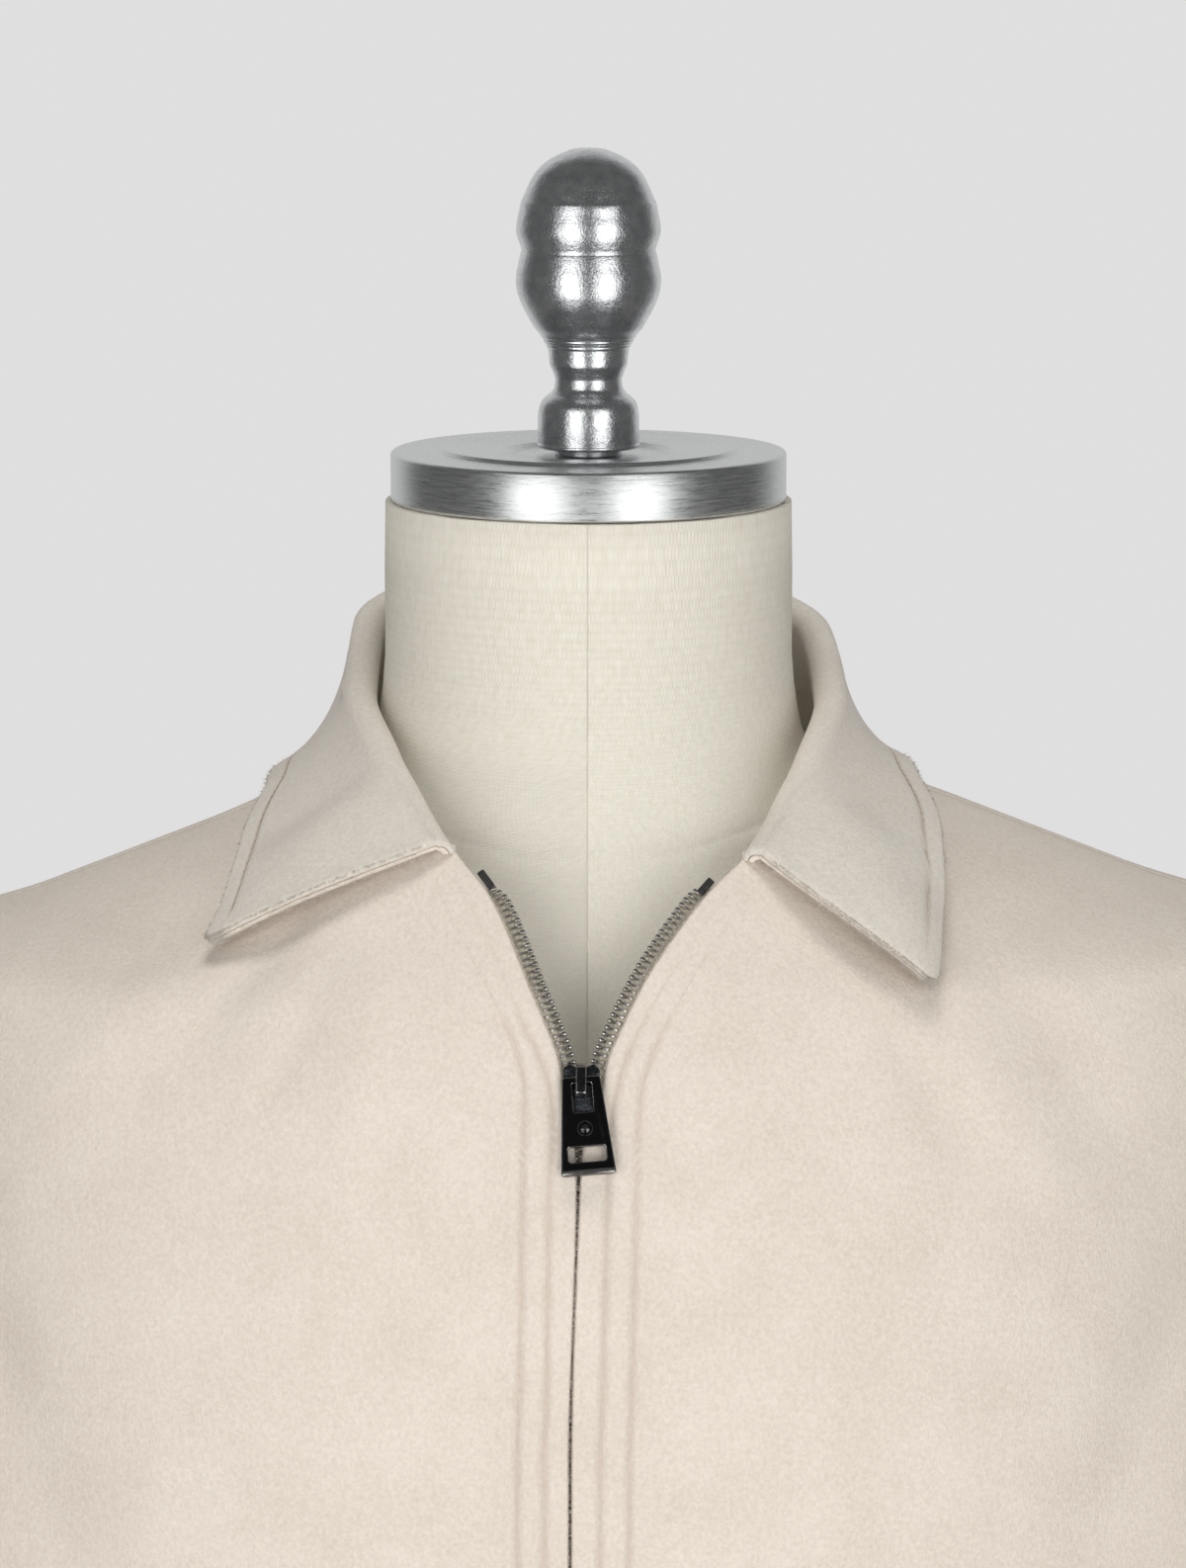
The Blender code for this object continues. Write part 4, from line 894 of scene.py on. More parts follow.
GROOVE_SHADE_WOOL = (0.42, 0.33, 0.27, 1)  # painted shade at the bottom of a stitched groove
WOOL_LIGHT, WOOL_SHADE = (0.800, 0.725, 0.640, 1), (0.600, 0.520, 0.440, 1)
wool = wool_material("brushed wool", WOOL_LIGHT, WOOL_SHADE, 0.30)
# The upper collar is the same wool, made greyer and darker as painted shade for its upward faces.
collar_wool_painted_shade = wool_material("collar wool with painted shade", (0.745, 0.700, 0.625, 1), (0.560, 0.505, 0.440, 1), 0.30)
linen = woven_material("form linen", (0.830, 0.790, 0.690, 1), (0.730, 0.685, 0.575, 1), 1700.0, 0.00012)
tape_cotton = woven_material("zip tape", (0.86, 0.80, 0.66, 1), (0.74, 0.67, 0.53, 1), 1900.0, 0.0002)
gunmetal = metal_material("gunmetal", (0.040, 0.040, 0.042, 1), (0.35, 0.34, 0.33, 1), 0.13, 0.53)
dark_cast = metal_material(
    "dark casting", (0.070, 0.077, 0.086, 1), (0.55, 0.56, 0.57, 1), 0.26, 0.535,
    grain=1100.0, depth=0.00025,
)
rubbed = metal_material("rubbed gunmetal", (0.36, 0.35, 0.34, 1), (0.62, 0.61, 0.60, 1), 0.20, 0.54)
nickel = metal_material("bright nickel", (0.60, 0.57, 0.53, 1), (0.88, 0.87, 0.85, 1), 0.20, 0.545)
# The closed teeth are really the same metal. This darker, browner colour is painted shade, chosen to
# match the dark line that they make between the two edges of the cloth.
painted_shade_nickel = metal_material("nickel with painted shade", (0.15, 0.12, 0.10, 1), (0.26, 0.22, 0.19, 1), 0.40, 0.54)
lathed, cast = brushed_material(), cast_material()
paint = paint_material()
thread = thread_material("wool thread", (0.68, 0.60, 0.52, 1), (0.55, 0.47, 0.39, 1))
print("materials:", [made.name for made in bpy.data.materials if made.users or made.use_nodes])

# %% [markdown]
# ## Floor
#
# A plain round of pale floor, wide enough for the soft shadow of the foot. The camera looks over
# it. Seen from behind, it is darker than the surround and ends in a line.

# %% Floor
FLOOR_RADIUS, FLOOR_SIDES = 2.6, 96
FLOOR_Z = -0.0002  # just under the foot
floor_turns = [2 * pi * k / FLOOR_SIDES for k in range(FLOOR_SIDES)]
floor_points = [(FLOOR_RADIUS * cos(turn), FLOOR_RADIUS * sin(turn), FLOOR_Z) for turn in floor_turns]
floor_mesh = bpy.data.meshes.new("floor")
floor_mesh.from_pydata(floor_points, [], [list(range(FLOOR_SIDES))])
floor = bpy.data.objects.new("floor", floor_mesh)
scene.collection.objects.link(floor)
floor_material, tree, shader = start_material("pale floor", 0.9)
where = add_node(tree, "ShaderNodeTexCoord").outputs["Object"]
mottled = blend(tree, noise(tree, where, 6.0), (0.72, 0.72, 0.72, 1), (0.76, 0.76, 0.76, 1))
tree.links.new(mottled, shader.inputs["Base Color"])
floor_mesh.materials.append(floor_material)
floor.visible_glossy = False  # the metal mirrors a dark room instead
print("floor radius", FLOOR_RADIUS)

# %% [markdown]
# ## Creases and stitched grooves
#
# Heavy wool hangs almost flat. What it shows are long shallow troughs where it turns from the
# shoulder to the zip, dimples under the collar, and the two lines stitched down each side of the
# zip, where the cloth is drawn in and puffs up on either side. Every trough is a line between two
# points of the shell with its own width and depth, faded out at both ends.

# %% Creases on the shell
# from azimuth, rise, to azimuth, rise (degrees and metres), width, depth (+ sinks in)
CREASES = (
    (-46, 0.176, -50, 0.120, 0.010, 0.0016),
    (-37, 0.160, -39, 0.105, 0.008, 0.0012),
    (-30, 0.150, -28, 0.085, 0.009, -0.0010),
    (-55, 0.150, -62, 0.080, 0.014, -0.0014),
    (52, 0.150, 60, 0.060, 0.013, 0.0015),
    (38, 0.150, 43, 0.080, 0.010, 0.0011),
    (45, 0.135, 52, 0.060, 0.010, -0.0010),
    (66, 0.060, 48, -0.050, 0.016, 0.0022),
    (70, 0.010, 50, -0.120, 0.014, -0.0016),
    (-67, 0.060, -50, -0.060, 0.017, 0.0024),
    (-70, -0.010, -47, -0.150, 0.015, -0.0015),
    (-12, -0.150, -15, -0.420, 0.016, 0.0022),
    (-26, -0.250, -29, -0.600, 0.018, 0.0028),
    (11, -0.180, 15, -0.480, 0.015, 0.0020),
    (25, -0.300, 24, -0.620, 0.020, 0.0030),
    (118, 0.080, 140, -0.040, 0.018, 0.0026),
    (126, 0.020, 150, -0.120, 0.016, -0.0018),
    (241, 0.070, 222, -0.060, 0.019, 0.0028),
    (236, 0.000, 214, -0.140, 0.016, -0.0016),
    (165, 0.150, 168, 0.050, 0.016, 0.0014),
    (196, 0.155, 192, 0.040, 0.015, 0.0012),
    (172, -0.180, 169, -0.520, 0.022, 0.0030),
    (190, -0.240, 194, -0.600, 0.020, 0.0026),
    (205, -0.120, 203, -0.400, 0.018, -0.0018),
    (152, -0.200, 149, -0.480, 0.018, -0.0020),
)


def crease_sink(azimuth, rise, creases=CREASES, reach_of_turn=ARM_REACH):
    """How far the creases sink the cloth in at points of the shell."""
    sink = np.zeros_like(azimuth)
    for from_turn, from_rise, to_turn, to_rise, width, depth in creases:
        start = np.array([radians(from_turn) * reach_of_turn, from_rise])
        run = np.array([radians(to_turn) * reach_of_turn, to_rise]) - start
        gap = np.stack([azimuth * reach_of_turn, rise], -1) - start
        part = np.clip(gap @ run / (run @ run), -0.2, 1.2)
        off = np.linalg.norm(gap - part[..., None] * run, axis=-1)
        fade = smooth_step(part, -0.2, 0.45) * smooth_step(-part, -1.2, -0.55)
        sink += depth * np.exp(-((off / width) ** 2)) * fade
    return sink


# fan angle in degrees, then x of the inner and outer lines on the right, and on the left
GROOVES = (
    (-220.0, -0.0134, -0.0214, 0.0026, 0.0111),
    (0.0, -0.0126, -0.0205, 0.0034, 0.0119),
    (9.0, -0.0119, -0.0198, 0.0042, 0.0127),
    (30.0, -0.0111, -0.0190, 0.0056, 0.0141),
    (36.0, -0.0102, -0.0186, 0.0064, 0.0147),
    (39.5, -0.0110, -0.0186, 0.0083, 0.0156),
    (43.0, -0.0145, -0.0208, 0.0115, 0.0190),
    (46.0, -0.0190, -0.0245, 0.0160, 0.0235),
    (50.0, -0.0245, -0.0315, 0.0235, 0.0310),
    (54.0, -0.0305, -0.0385, 0.0330, 0.0405),
    (57.4, -0.0375, -0.0450, 0.0430, 0.0505),
    (61.3, -0.0500, -0.0580, 0.0600, 0.0680),
)
GROOVE_WIDTH, GROOVE_DEPTH, PUFF_WIDTH, PUFF_HEIGHT = 0.0013, 0.0013, 0.0042, 0.0008
GROOVE_SHADE_WIDTH = 0.0006  # width of the painted shade line at the bottom of each stitched groove


def groove_sink(points, rise, side):
    """The two stitched lines beside a front edge: a sharp sink with a soft puff beside it, and a mask of
    painted shade along the bottom of each line, where the thread draws the cloth in."""
    angle = np.degrees(rise / FAN_RADIUS)
    columns = eased(GROOVES, angle)
    fade = mixed(0.15, 1.0, smooth_step(-angle, -50, -42))
    pucker = 1 + 0.22 * np.sin(rise * 480 + 2 * side) + 0.20 * np.sin(rise * 211 + 1.7)
    sink, drawn = np.zeros_like(rise), np.zeros_like(rise)
    for line in columns[:2] if side < 0 else columns[2:]:
        off = points[..., 0] - line
        sink += fade * pucker * GROOVE_DEPTH * np.exp(-((off / GROOVE_WIDTH) ** 2))
        sink -= fade * PUFF_HEIGHT * np.exp(-((off / PUFF_WIDTH) ** 2))
        # painted shade along the groove's bottom
        drawn += 0.5 * fade * np.exp(-((off / GROOVE_SHADE_WIDTH) ** 2))
    return sink, drawn


print("creases on the shell:", len(CREASES))

# %% [markdown]
# ## Fronts and back
#
# The panels are read from the shell at fine rows and columns, pushed in by the creases, and made
# into walls. Little of the cloth's inside ever shows, so the inner face simply follows the outer
# one.

# %% Front and back panels
QUIET_EDGE = 0.012  # creases fade out this near to a seam


def sunk(points, normal, sink):
    return points - normal * sink[..., None]


def add_front(word, side):
    azimuth, rise = panel(
        lambda rows, columns: front_borders(side, rows, columns),
        NECK_COLUMNS + SHOULDER_COLUMNS, FRONT_ROWS, FRONT_COLUMNS,
    )
    azimuth = azimuth * side
    points, normal = coat_point(azimuth, rise), coat_normal(azimuth, rise)
    away = smooth_step(edge_distance(points, False), 0.0, QUIET_EDGE)
    groove, drawn = groove_sink(points, rise, side)
    points = sunk(points, normal, crease_sink(azimuth, rise) * away + groove)
    piece = cloth_wall(f"{word}_front_cloth", points, normal, wool, drawn=drawn)
    return finished(piece, "wool_coating", f"front_{word}")


fronts = {side: add_front(word, side) for word, side in (("right", -1), ("left", 1))}

azimuth, rise = panel(
    back_borders, BACK_NECK_COLUMNS + 2 * SHOULDER_COLUMNS, FRONT_ROWS, BACK_COLUMNS
)
points, normal = coat_point(azimuth, rise), coat_normal(azimuth, rise)
sink = crease_sink(azimuth, rise) * smooth_step(edge_distance(points, False), 0.0, QUIET_EDGE)
back_cloth = cloth_wall("back_cloth", sunk(points, normal, sink), normal, wool)
finished(back_cloth, "wool_coating", "back")

# %% [markdown]
# ## Sleeves
#
# A set-in sleeve is one tube. Its first ring is the armhole itself, and the rings below it come
# from a table that bends the arm forward. The cap is cut a little fuller than the armhole, so the
# cloth rolls up beside the seam before it falls. Creases gather inside the elbow and fan out
# from the underarm.

# %% Sleeves
# upper x, upper z, under x, under z, half width, forward shift
SLEEVE_SECTIONS = (
    (0.2240, 1.4245, 0.2220, 1.2000, 0.0680, 0.000),
    (0.2335, 1.4213, 0.2290, 1.2040, 0.0705, 0.000),
    (0.2480, 1.4125, 0.2375, 1.2025, 0.0735, 0.001),
    (0.2680, 1.3925, 0.2430, 1.1900, 0.0785, 0.002),
    (0.2870, 1.3560, 0.2450, 1.1660, 0.0830, 0.003),
    (0.3010, 1.3020, 0.2460, 1.1320, 0.0855, 0.005),
    (0.3120, 1.2200, 0.2470, 1.0800, 0.0855, 0.009),
    (0.3210, 1.1100, 0.2480, 1.0050, 0.0825, 0.015),
    (0.3280, 0.9900, 0.2500, 0.9200, 0.0765, 0.022),
    (0.3310, 0.8800, 0.2540, 0.8450, 0.0715, 0.031),
    (0.3315, 0.7900, 0.2590, 0.7750, 0.0680, 0.040),
)
SLEEVE_RINGS, SLEEVE_TURNS = 14, 112
SLEEVE_ROWS = stations([8] * SLEEVE_RINGS, (0.02, 0.05, 0.1), (0.008, 0.02, 0.045)) / SLEEVE_RINGS
ARM_LENGTH, SLEEVE_RADIUS = 0.62, 0.085
CAP_ROLL, CAP_ROLL_AT, CAP_ROLL_WIDTH = 0.0016, 0.010, 0.014
# turn in degrees (0 on top, 90 to the front), metres down the sleeve, the same, width, depth
SLEEVE_CREASES = (
    (60, 0.30, 120, 0.34, 0.010, 0.0030),
    (75, 0.34, 140, 0.31, 0.009, 0.0026),
    (70, 0.265, 130, 0.285, 0.012, 0.0022),
    (50, 0.36, 110, 0.40, 0.012, 0.0018),
    (165, 0.06, 120, 0.20, 0.014, 0.0030),
    (190, 0.05, 235, 0.17, 0.015, 0.0034),
    (175, 0.10, 150, 0.26, 0.013, -0.0022),
    (210, 0.28, 265, 0.33, 0.013, 0.0022),
    (20, 0.02, 28, 0.12, 0.014, 0.0012),
    (-22, 0.02, -30, 0.13, 0.014, 0.0013),
    (250, 0.42, 290, 0.47, 0.014, 0.0016),
    (95, 0.46, 60, 0.52, 0.012, 0.0015),
)


def add_sleeve(word, side):
    turn = np.linspace(0, 2 * pi, SLEEVE_TURNS, endpoint=False)
    table = np.column_stack([np.linspace(0, 1, len(SLEEVE_SECTIONS)), SLEEVE_SECTIONS])
    upper_x, upper_z, under_x, under_z, half, forward = (
        column[:, None] for column in eased(table, SLEEVE_ROWS)
    )
    across, down = np.cos(turn)[None], np.sin(turn)[None]
    points = np.stack([
        (upper_x + under_x) / 2 + across * (upper_x - under_x) / 2,
        -forward - down * half,
        (upper_z + under_z) / 2 + across * (upper_z - under_z) / 2,
    ], -1)
    mirror = np.array([side, 1, 1])
    points = dropped(points * mirror)
    azimuth, rise = armhole(turn)
    azimuth = azimuth * side
    join = np.clip(1 - SLEEVE_ROWS * SLEEVE_RINGS, 0, 1)[:, None, None]
    points = points + (coat_point(azimuth, rise) - points[0]) * join
    normal = grid_normals(points, ring=True)
    if np.sum(normal[20] * (points[20] - points[20].mean(axis=0))) < 0:
        normal = -normal
    first = coat_normal(azimuth, rise)
    normal = unit(mixed(normal, first, join**2))
    along = SLEEVE_ROWS[:, None] * ARM_LENGTH + 0 * turn
    roll = CAP_ROLL * np.exp(-(((along - CAP_ROLL_AT) / CAP_ROLL_WIDTH) ** 2))
    roll = roll * smooth_step(along, 0.0, 0.006)
    sink = -roll * (0.35 + 0.65 * np.clip(np.cos(turn), 0, 1))
    for lap in (0.0, -2 * pi):
        sink += crease_sink(turn[None] + lap + 0 * along, along, SLEEVE_CREASES, SLEEVE_RADIUS)
    points = sunk(points, normal, sink)
    piece = cloth_wall(f"{word}_sleeve_cloth", points, normal, wool, ring=True)
    return finished(piece, "wool_coating", f"sleeve_{word}")


sleeves = {side: add_sleeve(word, side) for word, side in (("right", -1), ("left", 1))}

# %% [markdown]
# ## Collar
#
# A turned-down collar is a stand that climbs the neck, a roll, and a fall that lies over the
# shoulders. It is cut twice, and the two layers are joined along the free edge, so that edge is
# the thickest on the coat and shows a fine line between the layers. Each section is drawn from
# the neck seam over the roll to the edge. The tips are rounded by squeezing the last few
# millimetres of the grid into a quarter circle. The front leaves stand off the chest up to four
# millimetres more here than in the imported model.

# %% Collar sections
# way round in degrees, roll x, y, z, sweep, radius, lean, edge way, fan angle, lift, bow
COLLAR = (
    (26.1, -0.0407, -0.0845, 1.4690, 100, 0.0028, 0.7, 54.9, 45.5, 0.0042, 0.0085),
    (36.0, -0.0490, -0.0690, 1.4745, 118, 0.0032, 0.4, 57.0, 49.4, 0.0046, 0.0055),
    (50.0, -0.0585, -0.0430, 1.4870, 146, 0.0032, 0.0, 64.0, 54.8, 0.0046, 0.0010),
    (75.0, -0.0668, -0.0080, 1.5000, 168, 0.0032, 0.0, 83.0, 60.7, 0.0044, 0.0),
    (115.0, -0.0655, 0.0350, 1.5160, 172, 0.0032, 0.0, 112.0, 61.8, 0.0044, 0.0),
    (180.0, 0.0000, 0.0735, 1.5290, 172, 0.0034, 0.0, 180.0, 62.2, 0.0044, 0.0),
    (245.0, 0.0680, 0.0350, 1.5130, 172, 0.0032, 0.0, 248.0, 61.6, 0.0044, 0.0),
    (285.0, 0.0712, -0.0080, 1.4985, 168, 0.0032, 0.0, 277.0, 59.8, 0.0044, 0.0),
    (311.0, 0.0632, -0.0440, 1.4840, 146, 0.0032, 0.0, 297.3, 53.6, 0.0046, 0.0030),
    (323.0, 0.0545, -0.0670, 1.4720, 118, 0.0032, 0.4, 308.9, 46.9, 0.0046, 0.0095),
    (330.4, 0.0468, -0.0841, 1.4668, 100, 0.0028, 0.7, 315.1, 41.9, 0.0042, 0.0120),
)
COLLAR_LAYER, COLLAR_GAP, COLLAR_REST, REST_SOFTNESS = 0.0018, 0.0005, 0.0036, 0.0012
STAND_LOW, STAND_TALL, STAND_PULL, SEAM_PROBE, EDGE_PROBE = 0.006, 0.020, 0.8, 0.002, 0.004
STAND_STEPS, FOLD_STEPS, FALL_STEPS = 8, 12, 40
# distances from the free edge, the middle five of them across the stitched line
EDGE_STEPS = (
    0.0160, 0.0128, 0.0105, 0.0090, 0.0082, 0.0077, 0.0073, 0.0069, 0.0065, 0.0060, 0.0052,
    0.0042, 0.0032, 0.0023, 0.0016, 0.0010, 0.0006, 0.0003, 0.0,
)
ARCH, ARCH_REACH = 0.0042, 13.0  # lift of the leaves off the chest, and degrees it lasts
BELLY = (0.0055, 0.0012)  # how far each leaf's front edge bellies out, wearer's right and left
BELLY_SCALE = 6.75  # brings the highest value of part^2 (1 - part) to 1
NOTCH_LOW, NOTCH_REACH = 0.0034, 7.0  # the roll dips at the notch, and degrees it lasts
LAYER_GAP = 0.0002
COLLAR_STITCH, LINE_WIDTH, LINE_DEPTH = 0.0071, 0.0007, 0.0006
COLLAR_ROWS = 6  # rows for each coarse one
TIP_ROUND = 0.0045


def dot(first, second):
    return np.sum(first * second, axis=-1, keepdims=True)


def fall_parts(drop):
    """Places down the fall, crowded beside the free edge and round the stitched line."""
    close = 1 - np.array(EDGE_STEPS) / drop
    even = np.linspace(0, 1, FALL_STEPS - len(EDGE_STEPS) + 1)[1:] * close[:, :1]
    return np.concatenate([even[:, :-1], close], axis=1)[..., None]


def collar_rows(stations):
    """The collar's middle surface, a section for each station, and its normals on the roll."""
    way, roll = stations[:, 0], stations[:, None, 1:4]
    sweep, radius, lean, edge_way, edge_angle, lift, bow = stations.T[4:, :, None, None]
    off_front = np.minimum(way - stations[0, 0], stations[-1, 0] - way)[:, None, None]
    roll = roll - np.array([0, 0, NOTCH_LOW]) * np.exp(-((off_front / NOTCH_REACH) ** 2))
    azimuth = np.radians(np.where(way < 180, -way, 360 - way))
    rise = np.where(way < 180, neckline(azimuth, -1), neckline(azimuth, 1))
    seam, seam_normal = coat_point(azimuth, rise)[:, None], coat_normal(azimuth, rise)[:, None]
    seam_up = unit(seam - coat_point(azimuth, rise - SEAM_PROBE)[:, None])
    start = unit(mixed(seam_up, seam_normal, lean))
    past_corner = (1 - lean) * WALL / 2
    clear = SEAM * (1 + lean) + past_corner * dot(seam_normal, start)
    foot = seam - seam_normal * past_corner + start * clear
    edge_azimuth, edge_rise = -np.radians(edge_way[:, 0, 0]), fan_rise(edge_angle[:, 0, 0])
    below = coat_point(edge_azimuth, edge_rise)[:, None]
    off_coat = coat_normal(edge_azimuth, edge_rise)[:, None]
    edge = below + off_coat * lift
    edge_run = unit(below - coat_point(edge_azimuth, edge_rise + EDGE_PROBE)[:, None])
    height = np.linalg.norm(roll - foot, axis=-1, keepdims=True)
    upright = smooth_step(height, STAND_LOW, STAND_TALL)
    rising = unit(mixed(start, np.array([0, 0, 1.0]), upright))
    outward = (edge - roll) * np.array([1, 1, 0])
    outward = unit(outward - rising * dot(outward, rising))
    part = np.arange(STAND_STEPS)[None, :, None] / STAND_STEPS
    stand = hermite(foot, roll, start * height * STAND_PULL, rising * height, part)
    turns = np.linspace(0, 1, FOLD_STEPS + 1)[None, :, None] * np.radians(sweep)
    fold = roll + radius * (outward * (1 - np.cos(turns)) + rising * np.sin(turns))
    fold_normal = rising * np.sin(turns) - outward * np.cos(turns)
    fold_normal[:, -1] /= 2
    in_section = unit(np.cross(np.cross(start, -outward), start))
    foot_normal = unit(mixed(-seam_normal, in_section, lean))
    stand_normal = unit(mixed(foot_normal, -outward, part))
    last, leaving = fold[:, -1:], outward * np.sin(turns[:, -1:]) + rising * np.cos(turns[:, -1:])
    drop = np.linalg.norm(edge - last, axis=-1, keepdims=True)
    part = fall_parts(drop[:, 0])
    fall = hermite(last, edge, leaving * drop, edge_run * drop, part)
    fall = fall + edge_run * bow * 4 * part * (1 - part)
    near_front = np.exp(-((off_front / ARCH_REACH) ** 2))
    fall = fall + off_coat * ARCH * near_front * 4 * part**1.2 * (1 - part)
    on_right = (way < 180)[:, None, None]
    belly = np.where(on_right, BELLY[0], -BELLY[1]) * unit(np.cross(off_coat, edge_run))
    fall = fall + belly * near_front * BELLY_SCALE * part**2 * (1 - part)
    normals = np.concatenate([stand_normal, fold_normal, np.zeros_like(fall)], axis=1)
    return np.concatenate([stand, fold, fall], axis=1), normals


def rested(points):
    """Collar points, the ones of the fall that would sink into the coat lifted clear."""
    radius = np.hypot(points[..., 0], points[..., 1])
    azimuth = np.arctan2(points[..., 0], -points[..., 1])
    rise = fan_rise(np.degrees(np.arctan2(points[..., 2] - FAN_Z, radius)))
    base, normal = coat_point(azimuth, rise), coat_normal(azimuth, rise)
    height = np.sum((points - base) * normal, axis=-1, keepdims=True)
    fall = np.zeros_like(height)
    fall[:, STAND_STEPS + FOLD_STEPS :] = 1.0
    short = np.clip((COLLAR_REST - height) / REST_SOFTNESS, -30, 30)
    return points + normal * REST_SOFTNESS * np.log1p(np.exp(short)) * fall


def round_tips(points):
    """Squeezes the corner of the grid at each front tip into a quarter circle."""
    points = points.copy()
    for rows in (slice(None), slice(None, None, -1)):
        grid = points[rows]
        along, down = lengths(grid, 0), lengths(grid[:, ::-1], 1)[:, ::-1]
        u = np.clip(1 - along / TIP_ROUND, 0, 1)[..., None]
        v = np.clip(1 - down / TIP_ROUND, 0, 1)[..., None]
        inward, upward = np.gradient(grid, axis=0), -np.gradient(grid, axis=1)
        grid += unit(inward) * TIP_ROUND * u * (1 - np.sqrt(1 - v * v / 2))
        grid += unit(upward) * TIP_ROUND * v * (1 - np.sqrt(1 - u * u / 2))
    return points


# %% Collar layers
def neck_ways():
    """Way round the neck of each row, from the wearer's right front to the left."""
    share = np.linspace(0, 1, NECK_COLUMNS * COLLAR_ROWS + 1)
    right, left = (np.degrees(mixed(NECK_CORNERS[side], pi / 2, share)) for side in (-1, 1))
    back = np.linspace(90, 270, BACK_NECK_COLUMNS * COLLAR_ROWS + 1)
    ends = np.array([0.05, 0.14, 0.3, 0.5, 0.8, 1.1])
    return np.concatenate([right[:1], right[0] + ends, right[1:-1], back, 360 - left[::-1][1:-1],
                           360 - left[0] - ends[::-1], 360 - left[:1]])


ways = neck_ways()
rows, rolled = collar_rows(np.column_stack([ways, *eased(COLLAR, ways)]))
middle = round_tips(rested(rows))
normal = grid_normals(middle)
if normal[len(middle) // 2, -1, 2] < 0:
    normal = -normal
normal = unit(rolled + normal * (1 - np.linalg.norm(rolled, axis=-1, keepdims=True)))
collar_middle, collar_normal = middle, normal
near, far = LAYER_GAP / 2, COLLAR_GAP / 2 + COLLAR_LAYER
thick = far - near
off_edge, off_front = lengths(middle[:, ::-1], 1)[:, ::-1], lengths(middle, 0)
off_front = np.minimum(off_front, off_front[-1] - off_front)
line = np.exp(-(((off_edge - COLLAR_STITCH) / LINE_WIDTH) ** 2))
line = line * smooth_step(off_front, 0.006, 0.0075)
face = middle + normal * (far - LINE_DEPTH * line[..., None])
# the stitched line also gets painted shade along its groove, through drawn
upper_collar = cloth_wall(
    "upper_collar_cloth", face, normal, collar_wool_painted_shade, thick, soft=(0.0014, 0.0003), drawn=0.55 * line
)
finished(upper_collar, "wool_coating", "upper_collar")
under_collar = cloth_wall(
    "under_collar_cloth", middle - normal * near, normal, wool, thick, soft=(0.0003, 0.0012)
)
finished(under_collar, "wool_coating", "under_collar")

# %% [markdown]
# ## Zip
#
# Each half of the zip is a woven tape behind the front edge with a row of metal teeth clamped to
# it. A real tooth has two arms, a narrow waist and a head with a dimple that catches its
# neighbour, and the two rows are half a pitch apart. Here a tooth is one domed shape with a waist
# and no dimple. It is stamped every 2.1 mm, down from each row's own stop, which leaves the rows
# 0.6 mm apart. Above the slider each row follows its own edge into the V.

# %% Zip tapes
TAPE_WALL, TAPE_GAP, TAPE_WIDTH = 0.0008, 0.0004, 0.0125
TAPE_REACH = ((34.0, -0.0009), (42.0, 0.0026), (56.3, 0.0026), (58.5, -0.0004))
TAPE_STEP = 0.0014
TAPE_PLACES = (0.0, 0.0004, 0.0012, 0.003, 0.006, 0.009, 0.0115, TAPE_WIDTH)  # from its edge
TAPE_FOOT = mixed(HEM_Z - FAN_Z, FRONT_LEVEL, 1 / ROWS_LOW)


def edge_line(side, rise):
    """Points on a front edge, with directions up, out and away from the zip."""
    azimuth = front_edge(rise, side)
    points, out = coat_point(azimuth, rise), coat_normal(azimuth, rise)
    up = unit(np.gradient(points, axis=0))
    hidden = unit(np.cross(out, up)) * side
    hidden = hidden * np.sign(hidden[:, :1] * side)
    return points, up, out, hidden


def tape_reach(rise):
    angle = np.degrees(rise / FAN_RADIUS)
    return eased(TAPE_REACH, angle)[0][:, None]


def add_tape(word, side):
    top = float(neckline(NECK_CORNERS[side], side))
    rise = np.arange(TAPE_FOOT, top, TAPE_STEP)
    rise = np.append(rise, top)
    points, _, out, hidden = edge_line(side, rise)
    past = tape_reach(rise)
    behind = (points - out * (WALL + TAPE_GAP))[:, None]
    face = behind + hidden[:, None] * (np.array(TAPE_PLACES)[None, :, None] - past[:, None])
    normal = np.broadcast_to(out[:, None], face.shape)
    piece = cloth_wall(f"zip_tape_cloth_{word}", face, normal, tape_cotton, TAPE_WALL)
    return finished(piece, "zip_tape", f"zip_tape_{word}")


tapes = {side: add_tape(word, side) for word, side in (("right", -1), ("left", 1))}

# %% Zip teeth
PITCH = 0.0021
STOP_END = {-1: 0.0192, 1: 0.0209}  # from the top of the tape to the end of its stop
SLIDER_ANGLE, SLIDER_X = 40.3, -0.0020
SLIDER_UP, SLIDER_DOWN = 0.0052, 0.0062
CLEAR_ABOVE, CLEAR_BELOW = 0.0002, 0.0034  # teeth stop this far from the slider's ends
# a tooth seen from the front: towards the opening, half its thickness along the zip
TOOTH_OUTLINE = (
    (-0.0019, 0.00040), (-0.0004, 0.00034), (0.0005, 0.00034), (0.0009, 0.00056),
    (0.0013, 0.00066), (0.0018, 0.00058), (0.0022, 0.00030),
)
# depth from the middle and how far the outline is drawn in: a domed face, front and back
TOOTH_LEVELS = ((0.0009, 0.0), (0.00120, 0.00010), (0.00130, 0.00028))
TOOTH_CROWN, CROWN_AT = 0.00132, 0.0009


